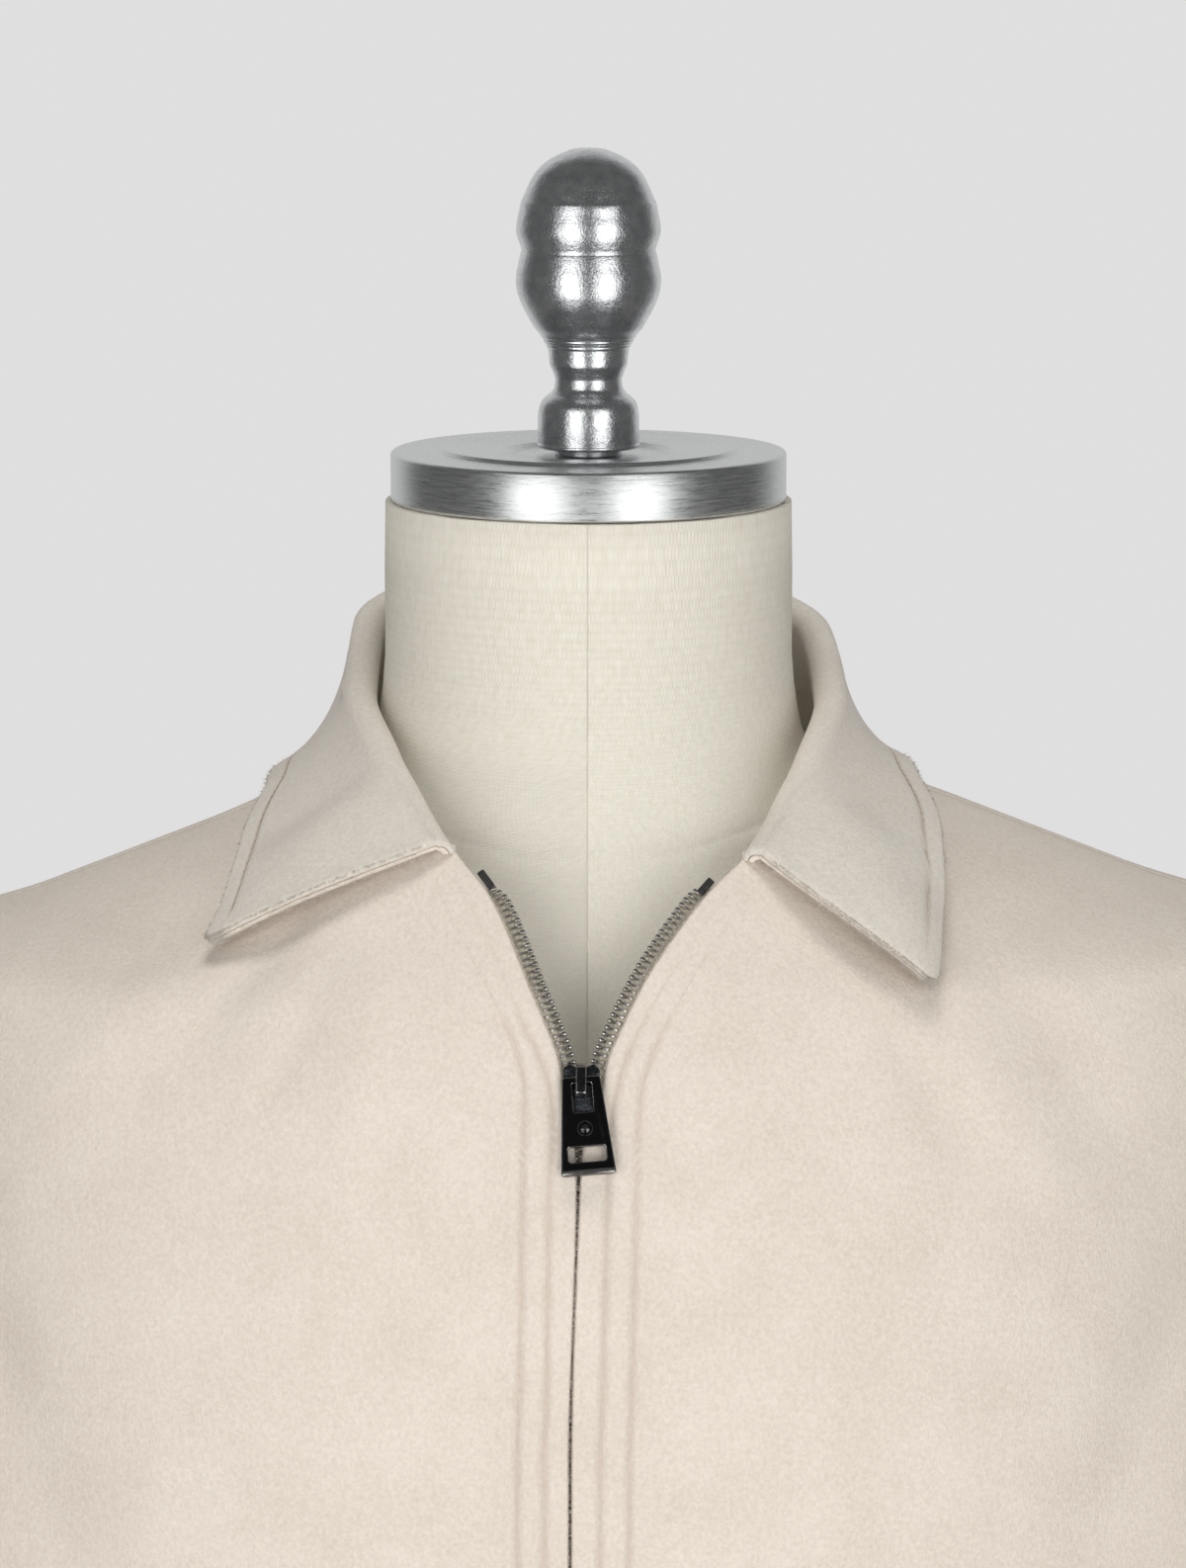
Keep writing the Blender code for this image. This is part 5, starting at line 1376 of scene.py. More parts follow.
def tooth_shape():
    """A tooth: flat-sided and domed front and back, its head wider than its neck."""
    outline = list(TOOTH_OUTLINE) + [(x, -y) for x, y in reversed(TOOTH_OUTLINE)]
    middle = np.mean(outline, axis=0)
    levels = [(-z, inset) for z, inset in reversed(TOOTH_LEVELS)] + list(TOOTH_LEVELS)
    points = []
    for z, inset in levels:
        for x, y in outline:
            pull = np.array([x, y]) - middle
            shrink = 1 - inset / max(np.linalg.norm(pull), 1e-6)
            points.append((*(middle + pull * shrink), z))
    count = len(outline)
    faces = [[level * count + k, level * count + (k + 1) % count,
              (level + 1) * count + (k + 1) % count, (level + 1) * count + k]
             for level in range(len(levels) - 1) for k in range(count)]
    points += [(CROWN_AT, 0.0, TOOTH_CROWN), (CROWN_AT, 0.0, -TOOTH_CROWN)]
    last = (len(levels) - 1) * count
    faces += [[last + k, last + (k + 1) % count, len(points) - 2] for k in range(count)]
    faces += [[(k + 1) % count, k, len(points) - 1] for k in range(count)]
    return np.array(points), faces


def spaced(rise, step, points, start=0.0):
    """Rises that are evenly spaced along a line of points."""
    along = lengths(points, 0)
    return np.interp(np.arange(along[-1] - start, 0, -step), along, rise)


def add_teeth(word, side):
    top = float(neckline(NECK_CORNERS[side], side))
    dense = np.linspace(TAPE_FOOT, top, 1200)
    line, _, _, hidden = edge_line(side, dense)
    line = line - hidden * tape_reach(dense)
    rise = spaced(dense, PITCH, line, STOP_END[side])
    middle = fan_rise(SLIDER_ANGLE)
    above, below = middle + SLIDER_UP + CLEAR_ABOVE, middle - SLIDER_DOWN - CLEAR_BELOW
    rise = rise[(rise > above) | (rise < below)]
    points, _, out, hidden = edge_line(side, rise)
    if side > 0:
        order = np.argsort(rise)
        rise, points, out, hidden = rise[order], points[order], out[order], hidden[order]
    fine = edge_line(side, np.repeat(rise, 3) + np.tile([-0.0006, 0, 0.0006], len(rise)))
    up = unit(fine[0][2::3] - fine[0][0::3])
    out = unit(out - up * np.sum(out * up, axis=-1, keepdims=True))
    opening = unit(np.cross(up, out)) * -side
    opening = opening * np.sign(-opening[:, :1] * side)
    places = points - out * (WALL + TAPE_GAP + TAPE_WALL / 2) - hidden * tape_reach(rise)
    turns = np.stack([opening, up, out], -1)
    # the closed teeth below the slider get the nickel with painted shade
    rows = (("open", rise > middle, nickel), ("closed", rise < middle, painted_shade_nickel))
    for name, kept, finish in rows:
        finished(
            stamped(f"{name}_teeth_{word}", *tooth_shape(), turns[kept], places[kept], finish, sharp=62),
            "zip_teeth",
        )


for word, side in (("right", -1), ("left", 1)):
    add_teeth(word, side)

# %% [markdown]
# ## Slider, pull tab, stops and box
#
# These are small die castings, plated dark. Their corners are never sharp, so each outline is
# drawn out and bevelled. The slider is a top plate with shoulders, a back plate, a wedge between
# them and a bridge. The tab hangs from the bridge by the bar above its window, and it is made
# round its own hinge line so that it can swing.

# %% Hard zip pieces
BRIDGE_UP, BRIDGE_DOWN, BRIDGE_HALF = 0.0046, 0.0050, 0.0015
BRIDGE_TOP, BRIDGE_METAL = 0.0048, 0.0013
TAB_THICK, TAB_TOP, TAB_FOOT = 0.0018, -0.0010, 0.0277
TAB_HALF_TOP, TAB_HALF_FOOT = 0.0055, 0.0080
TAB_WINDOW, TAB_SLOT = (0.0009, 0.0094, 0.0028), (0.0194, 0.0239, 0.0054)
TAB_AXIS_OUT, TAB_TURN = 0.0021, 5.0
STOP_SIZE, STOP_ANGLE = (0.0023, 0.0066, 0.0028), {-1: 58.0, 1: 57.2}
ZIP_BOX_SIZE = (0.0100, 0.0110, 0.0034)


def frame_of(across, up, out, origin):
    made = Matrix.Identity(4)
    for column, axis in enumerate((across, up, out)):
        for row in range(3):
            made[row][column] = axis[row]
    made.translation = Vector(origin)
    return made


def surface_frame(azimuth, rise, out=0.0):
    """A frame on the shell: X across, Y up the cloth, Z out of it."""
    origin, normal = coat_point(azimuth, rise), coat_normal(azimuth, rise)
    up = unit(coat_point(azimuth, rise + 0.001) - origin)
    return frame_of(np.cross(up, normal), up, normal, origin + normal * out)


def zip_frame(out=0.0):
    rise = fan_rise(SLIDER_ANGLE)
    return surface_frame(azimuth_at(SLIDER_X, rise), rise, out)


def prism(outline, low, high, place=lambda a, b, c: (a, b, c)):
    """A bmesh of a polygon drawn out between two distances."""
    shape = bmesh.new()
    lower = [shape.verts.new(place(a, b, low)) for a, b in outline]
    upper = [shape.verts.new(place(a, b, high)) for a, b in outline]
    count = len(outline)
    for step in range(count):
        after = (step + 1) % count
        shape.faces.new((lower[step], lower[after], upper[after], upper[step]))
    shape.faces.new(list(reversed(lower)))
    shape.faces.new(upper)
    bmesh.ops.recalc_face_normals(shape, faces=shape.faces)
    return shape


def softened(shape, width, segments=3, angle=30, rim=-1):
    """Bevels every edge that turns more than an angle. rim is the new faces' material."""
    edges = [edge for edge in shape.edges if edge.calc_face_angle(0.0) > radians(angle)]
    bmesh.ops.bevel(shape, geom=edges, offset=width, segments=segments, profile=0.5, affect="EDGES",
                    clamp_overlap=True, material=rim)
    return shape


def painted(shape, number):
    """Gives every face the material of this number."""
    for face in shape.faces:
        face.material_index = number
    return shape


def joined(name, shapes, place, *finishes):
    """One object from several bmesh shapes, put in place."""
    whole = bpy.data.meshes.new(name)
    total = bmesh.new()
    for shape in shapes:
        part = bpy.data.meshes.new("part")
        shape.to_mesh(part)
        shape.free()
        total.from_mesh(part)
        bpy.data.meshes.remove(part)
    total.to_mesh(whole)
    total.free()
    whole.transform(place)
    whole.shade_smooth()
    whole.set_sharp_from_angle(angle=radians(50))
    for finish in finishes:
        whole.materials.append(finish)
    made = bpy.data.objects.new(name, whole)
    scene.collection.objects.link(made)
    return made


def rounded_outline(corners, radius, steps=5):
    """A polygon with its corners rounded by short arcs."""
    corners = [Vector(corner) for corner in corners]
    out = []
    for before, corner, after in zip(corners[-1:] + corners[:-1], corners, corners[1:] + corners[:1]):
        enter = corner + (before - corner).normalized() * radius
        leave = corner + (after - corner).normalized() * radius
        for step in range(steps + 1):
            part = step / steps
            bend = enter * (1 - part) ** 2 + corner * 2 * part * (1 - part) + leave * part**2
            out.append(tuple(bend))
    return out


# the slider's plates: across and up, from the left shoulder down round the foot
PLATE = (
    (-0.0036, 0.0054), (-0.0054, 0.0036), (-0.0053, 0.0008), (-0.0044, -0.0040),
    (-0.0041, -0.0088), (0.0041, -0.0088), (0.0044, -0.0040), (0.0053, 0.0008),
    (0.0054, 0.0036), (0.0036, 0.0054), (0.0012, 0.0042), (-0.0012, 0.0042),
)
# the wedge that parts the two rows of teeth, between the plates
WEDGE = ((-0.0011, 0.0048), (-0.0011, -0.0084), (0.0011, -0.0084), (0.0011, 0.0048))
# the bridge seen from the side: along the zip, and out
BRIDGE = (
    (BRIDGE_UP, -0.0002), (BRIDGE_UP, BRIDGE_TOP - 0.0013), (BRIDGE_UP - 0.0011, BRIDGE_TOP),
    (-BRIDGE_DOWN + 0.0009, BRIDGE_TOP), (-BRIDGE_DOWN, BRIDGE_TOP - 0.0010), (-BRIDGE_DOWN, -0.0002),
    (-BRIDGE_DOWN + BRIDGE_METAL, -0.0002), (-BRIDGE_DOWN + BRIDGE_METAL, BRIDGE_TOP - BRIDGE_METAL),
    (BRIDGE_UP - BRIDGE_METAL, BRIDGE_TOP - BRIDGE_METAL), (BRIDGE_UP - BRIDGE_METAL, -0.0002),
)


def bridge_shape():
    """The bridge, with its faces in gunmetal and its bevelled edges rubbed."""
    shape = prism(BRIDGE, -BRIDGE_HALF, BRIDGE_HALF, lambda along, out, x: (x, along, out))
    return softened(painted(shape, 2), 0.0003, rim=1)


slider = joined("zip_slider_casting", [
    softened(prism(rounded_outline(PLATE, 0.0006), -0.0024, 0.0006), 0.00045),
    softened(prism(rounded_outline(PLATE, 0.0006), -0.0056, -0.0044), 0.0004),
    prism(WEDGE, -0.0046, -0.0022),
    bridge_shape(),
], zip_frame(), dark_cast, rubbed, gunmetal)
finished(slider, "dark_zip_metal", "zip_slider")


# radius and height of the rivet's dished head, from its middle out
RIVET_PROFILE = (
    (0.0, 0.00045), (0.0012, 0.0004), (0.0015, 0.00015), (0.0016, 0.00012),
    (0.0019, 0.0005), (0.0022, 0.0005), (0.0024, 0.0001), (0.0024, -0.0004),
)
RIVET_SIDES, RIVET_DOWN, RIVET_SUNK = 28, 0.0142, 0.0002
FOOT_BAR, FOOT_BAR_IN, FOOT_BAR_TAPER, FOOT_BAR_PROUD = 0.0017, 0.0003, 0.0005, 0.0002


def rivet_shape():
    """A plain rivet, its head dished between a middle dome and a rim."""
    rivet = bmesh.new()
    turns = [2 * pi * k / RIVET_SIDES for k in range(RIVET_SIDES)]
    rings = [[rivet.verts.new((r * cos(turn), r * sin(turn), z)) for turn in turns]
             for r, z in RIVET_PROFILE[1:]]
    centre = rivet.verts.new((0, 0, RIVET_PROFILE[0][1]))
    for k in range(RIVET_SIDES):
        after = (k + 1) % RIVET_SIDES
        rivet.faces.new((centre, rings[0][k], rings[0][after]))
        for inner, outer in zip(rings, rings[1:]):
            rivet.faces.new((inner[k], outer[k], outer[after], inner[after]))
    rivet.faces.new(list(reversed(rings[-1])))
    bmesh.ops.recalc_face_normals(rivet, faces=rivet.faces)
    bmesh.ops.translate(
        rivet, verts=rivet.verts, vec=(0, -RIVET_DOWN, TAB_THICK / 2 - RIVET_SUNK)
    )
    return rivet


def foot_bar_shape():
    """The raised bar across the tab's foot, rubbed all over."""
    low, high = -TAB_FOOT, -TAB_FOOT + FOOT_BAR
    low_half, high_half = TAB_HALF_FOOT - FOOT_BAR_IN, TAB_HALF_FOOT - FOOT_BAR_TAPER
    proud = TAB_THICK / 2 + FOOT_BAR_PROUD
    outline = ((-low_half, low), (low_half, low), (high_half, high), (-high_half, high))
    return painted(softened(prism(outline, -proud, proud), 0.0005), 1)


def add_tab():
    """The pull tab: a tapered plate with a window, a slot, a plain rivet and a raised foot."""
    half = TAB_THICK / 2
    outline = rounded_outline((
        (-TAB_HALF_TOP, -TAB_TOP), (-TAB_HALF_FOOT, -TAB_FOOT),
        (TAB_HALF_FOOT, -TAB_FOOT), (TAB_HALF_TOP, -TAB_TOP),
    ), 0.0009)
    bodies = [("plate", prism(outline, -half, half))]
    for name, (start, end, wide), corner in (("window", TAB_WINDOW, 0.0005), ("slot", TAB_SLOT, 0.0009)):
        hole = rounded_outline(((-wide, -end), (wide, -end), (wide, -start), (-wide, -start)), corner)
        bodies.append((name, prism(hole, -half * 2, half * 2)))
    made = []
    for name, shape in bodies:
        mesh = bpy.data.meshes.new(name)
        shape.to_mesh(mesh)
        shape.free()
        made.append(bpy.data.objects.new(name, mesh))
        scene.collection.objects.link(made[-1])
    plate = made[0]
    for cutter in made[1:]:
        cut = plate.modifiers.new(cutter.name, "BOOLEAN")
        cut.operation, cut.object = "DIFFERENCE", cutter
    bevel = plate.modifiers.new("soft edges", "BEVEL")
    bevel.width, bevel.segments = 0.00045, 3
    bevel.limit_method, bevel.angle_limit = "ANGLE", radians(50)
    bevel.material = 1  # the bevelled edges are rubbed
    for finish in (gunmetal, rubbed):
        plate.data.materials.append(finish)
    graph = bpy.context.evaluated_depsgraph_get()
    shape = bmesh.new()
    shape.from_mesh(bpy.data.meshes.new_from_object(plate.evaluated_get(graph)))
    for found in made:
        bpy.data.objects.remove(found, do_unlink=True)
    place = zip_frame(TAB_AXIS_OUT) @ Matrix.Rotation(radians(TAB_TURN), 4, "Z")
    shapes = [shape, rivet_shape(), foot_bar_shape()]
    return joined("pull_tab_casting", shapes, place, gunmetal, rubbed)


finished(add_tab(), "dark_zip_metal", "pull_tab", body="tab")

# %% [markdown]
# The top stops are clamped over the ends of the tapes, just past the last tooth, and the box at the foot
# takes the pin of an open-ended zip. Each is a small bevelled block, the stops with a raised ridge and
# the box with its pin.

# %% Stops and box
def box_shape(size, bevel):
    wide, long, deep = (value / 2 for value in size)
    corners = rounded_outline(((-wide, -long), (wide, -long), (wide, long), (-wide, long)), wide * 0.35)
    return softened(prism(corners, -deep, deep), bevel)


for word, side in (("right", -1), ("left", 1)):
    low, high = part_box(f"zip_stop_{word}")
    centre = (np.array(low) + np.array(high)) / 2
    _, up, out, _ = edge_line(side, fan_rise(STOP_ANGLE[side]) + np.array([-0.003, 0, 0.003]))
    up, out = up[1], out[1]
    out = unit(out - up * (out @ up))
    place = frame_of(np.cross(up, out), up, out, centre)
    ridge = box_shape((0.0009, 0.0056, 0.0006), 0.0002)
    bmesh.ops.translate(ridge, verts=ridge.verts, vec=(0, 0, STOP_SIZE[2] / 2))
    stop = joined(f"top_stop_{word}", [box_shape(STOP_SIZE, 0.0005), ridge], place, gunmetal)
    finished(stop, "dark_zip_metal", f"zip_stop_{word}")

foot_rise = TAPE_FOOT - ZIP_BOX_SIZE[1] / 2 - SEAM
box_x = sum(eased(FRONT_EDGES, np.degrees(foot_rise / FAN_RADIUS))) / 2
box_place = surface_frame(azimuth_at(box_x, foot_rise), foot_rise, -WALL - SEAM - ZIP_BOX_SIZE[2] / 2)
pin = box_shape((0.0016, 0.0160, 0.0016), 0.0004)
bmesh.ops.translate(pin, verts=pin.verts, vec=(0.0022, 0.0060, 0))
zip_box = joined("zip_box_casting", [box_shape(ZIP_BOX_SIZE, 0.0006), pin], box_place, gunmetal)
finished(zip_box, "dark_zip_metal", "zip_box")

# %% [markdown]
# ## Stitches
#
# The thread matches the wool and is drawn deep into it, so a line of stitches is mostly a row of
# small dimples. Each stitch is a short round bar that lies just under the cloth's surface. The
# lines run down both sides of the zip and round the collar's free edge.

# %% Stitch lines
STITCH, STITCH_GAP, THREAD = 0.0028, 0.0007, 0.00022


STITCH_RINGS = ((-0.5, 0.15), (-0.40, 0.8), (0.0, 1.0), (0.40, 0.8), (0.5, 0.15))  # along, radius
STITCH_SIDES = 6


def stitch_shape():
    """A bar of six sides, thin at both ends, of length 1 and radius 1, to be scaled."""
    sides, points, faces = STITCH_SIDES, [], []
    for along, thick in STITCH_RINGS:
        points += [(thick * cos(pi * k / 3), along, thick * sin(pi * k / 3)) for k in range(sides)]
    for first in range(0, len(points) - sides, sides):
        for k in range(sides):
            after = (k + 1) % sides
            faces.append([first + k, first + after, first + sides + after, first + sides + k])
    faces += [list(range(sides - 1, -1, -1)), list(range(len(points) - sides, len(points)))]
    return np.array(points), faces


def add_stitches(name, lines):
    """Stitches along lines, each given as its points and the cloth's normals there."""
    turns, places = [], []
    for points, normals in lines:
        along = lengths(points, 0)
        middle = np.arange(STITCH, along[-1] - STITCH, STITCH + STITCH_GAP)
        spot = np.stack([np.interp(middle, along, points[:, k]) for k in range(3)], -1)
        ahead = np.stack([np.interp(middle + 0.001, along, points[:, k]) for k in range(3)], -1)
        out = unit(np.stack([np.interp(middle, along, normals[:, k]) for k in range(3)], -1))
        run = unit(ahead - spot)
        out = unit(out - run * np.sum(out * run, axis=-1, keepdims=True))
        turns.append(np.stack([np.cross(run, out), run, out], -1))
        places.append(spot)
    turns, places = np.concatenate(turns), np.concatenate(places)
    scale = np.tile((THREAD, STITCH, THREAD), (len(places), 1))
    return finished(stamped(name, *stitch_shape(), turns, places, thread, scale), "wool_coating")


def groove_line(side, column):
    """A stitched line down a front, at the bottom of its groove."""
    rise = np.linspace(HEM_Z - FAN_Z + 0.004, fan_rise(52.0), 700)
    x = eased(GROOVES, np.degrees(rise / FAN_RADIUS))[column]
    azimuth = azimuth_at(x, rise)
    points, normal = coat_point(azimuth, rise), coat_normal(azimuth, rise)
    sink = groove_sink(points, rise, side)[0] + crease_sink(azimuth, rise)
    return points - normal * (sink + THREAD * 0.6)[:, None], normal


placket_lines = [groove_line(side, column) for side, column in ((-1, 0), (-1, 1), (1, 2), (1, 3))]
add_stitches("placket_stitches", placket_lines)


def collar_line():
    """A line on the upper collar, a little in from its outer edge."""
    face = collar_middle + collar_normal * (COLLAR_GAP / 2 + COLLAR_LAYER)
    down = lengths(face[:, ::-1], 1)[:, ::-1]
    points, normals = [], []
    for row in range(4, len(face) - 4):
        order = np.argsort(down[row])
        at = [np.interp(COLLAR_STITCH, down[row][order], face[row, order, k]) for k in range(3)]
        to = [np.interp(COLLAR_STITCH, down[row][order], collar_normal[row, order, k]) for k in range(3)]
        points.append(at)
        normals.append(to)
    points, normals = np.array(points), unit(np.array(normals))
    return points - normals * THREAD * 0.4, normals


add_stitches("collar_stitches", [collar_line()])

# %% [markdown]
# ## Fuzz
#
# A brushed edge is never a clean line. Short loose fibres stand off it in clumps. Each is a thin
# spike with three sides, rooted just inside the rounded edge and pointing outwards with some
# scatter. There are 51,000 of them along the collar and the zip edges.

# %% Loose fibres
SPIKE = np.array([(1, 0, 0), (-0.5, 0.87, 0), (-0.5, -0.87, 0), (0.3, 0.2, 1)])
SPIKE_FACES = ((0, 2, 1), (0, 1, 3), (1, 2, 3), (2, 0, 3))
FIBRE_THIN, FIBRE_THICK = 0.00005, 0.00013
FIBRE_SHORT, FIBRE_LONG, FIBRE_THIRD = 0.0003, 0.0018, 0.00026  # the last is a third of the mean
ROOT_DEPTH = 0.0003  # fibres start this far inside the edge
ROOT_JUMP = 0.01  # no fibre between two roots that are further apart than this
COLLAR_SPREAD = 0.0019  # how far the roots lie to either side of the collar's middle
COLLAR_FIBRES, EDGE_FIBRES = (5000, 5000, 9000), 16000  # front edges and long edge, each zip edge
chance = np.random.default_rng(11)


def add_fuzz(name, roots, toward, normals, spread, count, finish):
    """Spikes at random places along lines of roots, spread to both sides along the normals."""
    pick = chance.integers(0, len(roots) - 1, count)
    part = chance.random((count, 1))
    root = mixed(roots[pick], roots[pick + 1], part)
    ahead = mixed(toward[pick], toward[pick + 1], part)
    out = mixed(normals[pick], normals[pick + 1], part)
    near = np.linalg.norm(roots[pick + 1] - roots[pick], axis=-1) < ROOT_JUMP
    side = chance.uniform(-1, 1, (count, 1))
    root = root + out * side * spread - ahead * ROOT_DEPTH
    way = unit(ahead + out * side * 0.8 + chance.normal(0, 0.45, (count, 3)))
    across = unit(np.cross(way, chance.normal(0, 1, (count, 3))))
    turns = np.stack([across, np.cross(way, across), way], -1)
    thick = chance.uniform(FIBRE_THIN, FIBRE_THICK, count)
    long = chance.gamma(3.0, FIBRE_THIRD, count).clip(FIBRE_SHORT, FIBRE_LONG)
    scale = np.stack([thick, thick, long], -1)
    piece = stamped(name, SPIKE, SPIKE_FACES, turns[near], root[near], finish, scale[near])
    return finished(piece, "wool_coating")


edge_roots, edge_toward, edge_normals = [], [], []
low = STAND_STEPS + FOLD_STEPS + 1  # the first column of the fall
for grid_of in (slice(None), slice(None, None, -1)):
    line = collar_middle[grid_of]
    edge_roots.append(line[0, low:])
    edge_toward.append(unit(line[0, low:] - line[3, low:]))
    edge_normals.append(collar_normal[grid_of][0, low:])
edge_roots.append(collar_middle[:, -1])
edge_toward.append(unit(collar_middle[:, -1] - collar_middle[:, -4]))
edge_normals.append(collar_normal[:, -1])
# the collar's fibres take the upper collar's painted shade
for number, count in enumerate(COLLAR_FIBRES):
    add_fuzz(f"collar_fuzz_{number}", edge_roots[number], edge_toward[number], edge_normals[number],
             COLLAR_SPREAD, count, collar_wool_painted_shade)
for word, side in (("right", -1), ("left", 1)):
    rise = np.linspace(HEM_Z - FAN_Z + 0.002, float(neckline(NECK_CORNERS[side], side)) - 0.002, 900)
    line, _, out, hidden = edge_line(side, rise)
    add_fuzz(f"edge_fuzz_{word}", line - out * WALL / 2, -hidden, out, WALL * 0.45, EDGE_FIBRES, wool)

# %% [markdown]
# ## Dress form
#
# The form is a moulded torso under a stretched linen cover. The cover is cut in gores, so fine
# seams run down its centre front, centre back and sides, and one goes round the base of the neck.
# A seam is a narrow groove with the cloth slightly raised beside it. The neck carries nothing but
# the weave.

# %% Form cover
# height, half width, front depth, back depth, squareness
FORM_SECTIONS = (
    (0.840, 0.1500, 0.0980, 0.1100, 2.20),
    (0.930, 0.1720, 0.1160, 0.1280, 2.20),
    (1.060, 0.1460, 0.1000, 0.1000, 2.20),
    (1.180, 0.1600, 0.1120, 0.1020, 2.20),
    (1.280, 0.1740, 0.1210, 0.1100, 2.20),
    (1.340, 0.1820, 0.1160, 0.1120, 2.10),
    (1.385, 0.1900, 0.1050, 0.1060, 2.00),
    (1.415, 0.1920, 0.0930, 0.0960, 1.80),
    (1.4408, 0.1690, 0.0820, 0.0870, 1.65),
    (1.4600, 0.1180, 0.0720, 0.0730, 1.70),
    (1.4740, 0.0775, 0.0680, 0.0685, 1.95),
    (1.490, 0.0655, 0.0640, 0.0655, 2.00),
    (1.515, 0.0624, 0.0624, 0.0624, 2.00),
    (1.550, 0.0624, 0.0624, 0.0624, 2.00),
    (1.5597, 0.0610, 0.0610, 0.0610, 2.00),
)
FORM_BOTTOM_Z, FORM_TOP_Z = 0.840, 1.5597
FORM_SEAMS = (0, 90, 180, 270)  # azimuths in degrees
NECK_SEAM_ANGLE = 66.0  # fan angle of the seam round the neck's base
SEAM_WIDTH, SEAM_DEPTH = 0.0006, 0.00035
BESIDE_SEAM = (-1.6, -0.9, -0.45, 0.0, 0.45, 0.9, 1.6)  # extra azimuths round an upright seam
BESIDE_NECK_SEAM = (-0.35, -0.18, 0, 0.18, 0.35)  # extra fan angles round the neck's seam
COVER_TURNS, COVER_TOP_ANGLE = 121, 76.2


def seam_sink(off):
    """How far a seam sinks the cover in: a narrow groove, raised a little on both sides."""
    groove = np.exp(-((off / SEAM_WIDTH) ** 2))
    return SEAM_DEPTH * (groove - 0.5 * np.exp(-((off / (3 * SEAM_WIDTH)) ** 2)))


def add_form_cover():
    azimuth = (np.radians(FORM_SEAMS)[:, None] + np.radians(BESIDE_SEAM)).ravel()
    azimuth = np.concatenate([azimuth, np.linspace(0, 2 * pi, COVER_TURNS)[:-1]])
    azimuth = np.unique(np.round(azimuth % (2 * pi), 6))
    angles = NECK_SEAM_ANGLE + np.array(BESIDE_NECK_SEAM)
    angles = np.concatenate([np.linspace(0, COVER_TOP_ANGLE, 90), angles])
    rise = np.concatenate([np.linspace(FORM_BOTTOM_Z - FAN_Z, -0.005, 70), fan_rise(np.sort(angles))])
    points = fan_point(FORM_SECTIONS, azimuth[None], rise[:, None], FORM_TOP_Z)
    points[-1, :, 2] = FORM_TOP_Z
    normal = grid_normals(points, ring=True)
    radius = np.hypot(points[..., 0], points[..., 1])
    sink = np.zeros_like(radius)
    for seam in np.radians(FORM_SEAMS):
        off = np.abs((azimuth - seam + pi) % (2 * pi) - pi)[None] * radius
        sink += seam_sink(off)
    sink += seam_sink(np.abs(rise - fan_rise(NECK_SEAM_ANGLE))[:, None] * 0.45)
    sink[0] = sink[-1] = 0
    points = sunk(points, normal, sink)
    rows, columns = points.shape[:2]
    at = np.arange(rows * columns).reshape(rows, columns)
    ring = np.concatenate([at, at[:, :1]], axis=1)
    quads = np.stack([ring[:-1, :-1], ring[:-1, 1:], ring[1:, 1:], ring[1:, :-1]], -1)
    faces = quads.reshape(-1, 4).tolist() + [at[0, ::-1].tolist(), at[-1].tolist()]
    uv = np.stack([azimuth[None] * np.minimum(radius, 0.12), rise[:, None] + 0 * radius], -1)
    piece = add_piece("form_cover", points.reshape(-1, 3), faces, linen, uv.reshape(-1, 2))
    return finished(piece, "form_cover", "form_torso")


add_form_cover()

# %% [markdown]
# ## Turned and cast metal
#
# The neck cap is a disc turned on a lathe, so its section is a profile swept round the axis, with
# every corner broken by a small bevel. The ornament is cast. Its profile is a row of beads and
# hollows that run into each other, and a smooth reading of a table gives exactly that. The pole
# and the foot are plain.

# %% Swept profiles
def add_turned(name, profile, bottom_z, finish, steps=128, smooth=None, sharp=35):
    """A solid of revolution on the Z axis, from radii and heights that run down its outside."""
    profile = np.array(profile, float)
    if smooth:
        along = lengths(profile, 0)
        table = np.column_stack([along, profile])
        profile = np.stack(eased(table, np.linspace(0, along[-1], smooth)), -1)
    turn = np.linspace(0, 2 * pi, steps, endpoint=False)
    points = np.stack([
        profile[:, :1] * np.cos(turn), profile[:, :1] * np.sin(turn),
        profile[:, 1:] + bottom_z + 0 * turn,
    ], -1)
    at = np.arange(points.shape[0] * steps).reshape(-1, steps)
    ring = np.concatenate([at, at[:, :1]], axis=1)
    quads = np.stack([ring[:-1, :-1], ring[1:, :-1], ring[1:, 1:], ring[:-1, 1:]], -1)
    faces = quads.reshape(-1, 4).tolist() + [at[0].tolist(), at[-1, ::-1].tolist()]
    return add_piece(name, points.reshape(-1, 3), faces, finish, sharp=sharp)


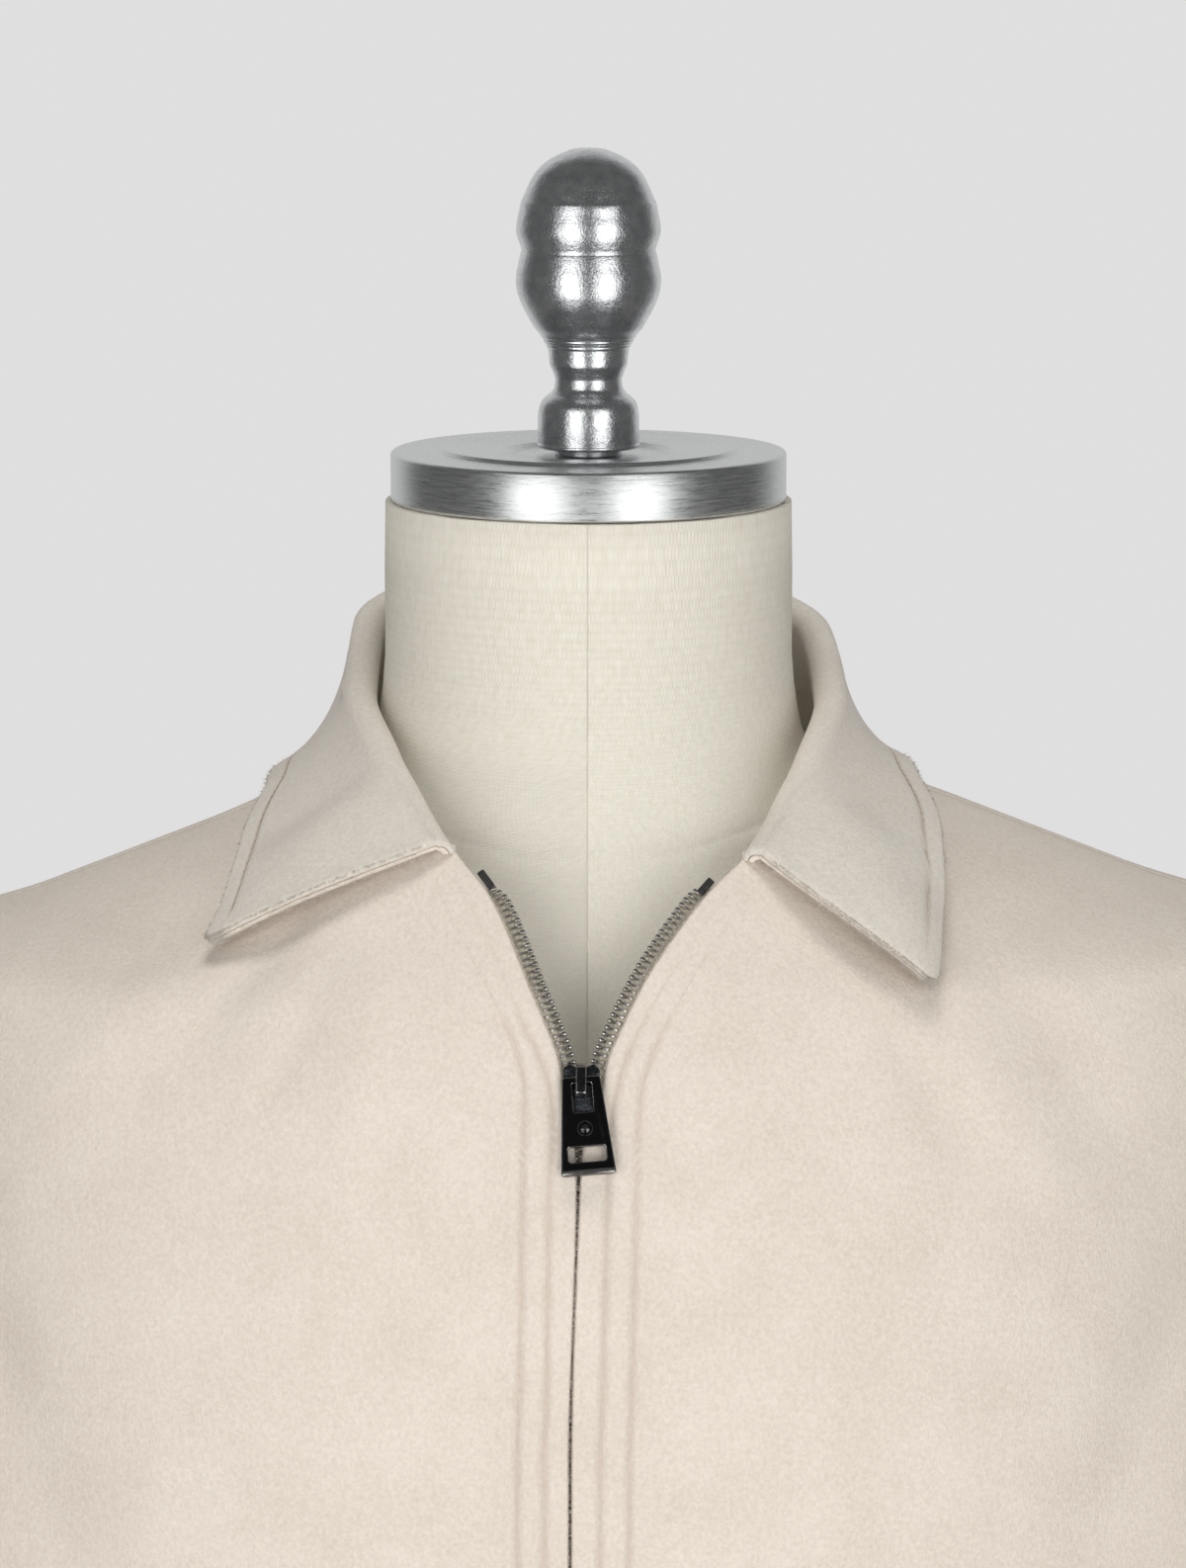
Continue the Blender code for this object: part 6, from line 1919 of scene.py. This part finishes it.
# radius and height above its seat, from the top down the outside
CAP_PROFILE = (
    (0.0020, 0.0135), (0.0238, 0.0135), (0.0244, 0.0137), (0.0262, 0.0149), (0.0268, 0.0151),
    (0.0440, 0.0162), (0.0448, 0.0161), (0.0458, 0.0151), (0.0466, 0.0150), (0.0590, 0.0150),
    (0.0597, 0.0149), (0.0602, 0.0146), (0.0605, 0.0141), (0.0605, 0.0010), (0.0603, 0.0004),
    (0.0598, 0.0001), (0.0592, 0.0000), (0.0020, 0.0000),
)
FINIAL_PROFILE = (
    (0.0002, 0.0931), (0.0040, 0.0928), (0.0067, 0.0920), (0.0119, 0.0895), (0.0162, 0.0855),
    (0.0188, 0.0806), (0.0199, 0.0780), (0.0202, 0.0774), (0.0205, 0.0768), (0.0212, 0.0735),
    (0.0219, 0.0697), (0.0220, 0.0681), (0.0218, 0.0669), (0.0209, 0.0640), (0.0205, 0.0628),
    (0.0204, 0.0622), (0.0206, 0.0615), (0.0213, 0.0584), (0.0220, 0.0546), (0.0221, 0.0530),
    (0.0219, 0.0506), (0.0208, 0.0468), (0.0185, 0.0421), (0.0166, 0.0388), (0.0146, 0.0363),
    (0.0144, 0.0358), (0.0139, 0.0354), (0.0139, 0.0349), (0.0135, 0.0345), (0.0134, 0.0340),
    (0.0129, 0.0336), (0.0129, 0.0331), (0.0125, 0.0326), (0.0121, 0.0300), (0.0119, 0.0278),
    (0.0109, 0.0252), (0.0102, 0.0228), (0.0105, 0.0205), (0.0114, 0.0190), (0.0134, 0.0173),
    (0.0146, 0.0158), (0.0152, 0.0138), (0.0155, 0.0110), (0.0155, 0.0036), (0.0157, 0.0032),
    (0.0157, 0.0026), (0.0154, 0.0022), (0.0104, 0.0020), (0.0103, 0.0000),
)
CAP_BOTTOM_Z, FINIAL_SEAT_Z = 1.5600, 1.5738
finished(add_turned("neck_disc", CAP_PROFILE, CAP_BOTTOM_Z, lathed, 160), "turned_aluminium", "neck_cap")
finial = add_turned("finial_casting", FINIAL_PROFILE, FINIAL_SEAT_Z, cast, 96, smooth=420, sharp=None)
finished(finial, "cast_aluminium", "finial")
POLE = ((0.0155, 0.8397), (0.0160, 0.8392), (0.0160, 0.0708), (0.0155, 0.0703))
finished(add_turned("stand_pole", POLE, 0.0, paint, 64), "stand_paint", "pole")
FOOT = (
    (0.0165, 0.0700), (0.0224, 0.0700), (0.0236, 0.0697), (0.0246, 0.0688), (0.0250, 0.0676),
    (0.0256, 0.0500), (0.0262, 0.0420), (0.0285, 0.0345), (0.0330, 0.0290), (0.0450, 0.0243),
    (0.0700, 0.0200), (0.1100, 0.0164), (0.1500, 0.0140), (0.1780, 0.0119), (0.1820, 0.0110),
    (0.1843, 0.0095), (0.1850, 0.0078), (0.1850, 0.0010), (0.1840, 0.0000),
)
finished(add_turned("stand_foot", FOOT, 0.0, paint, 128), "stand_paint", "base")
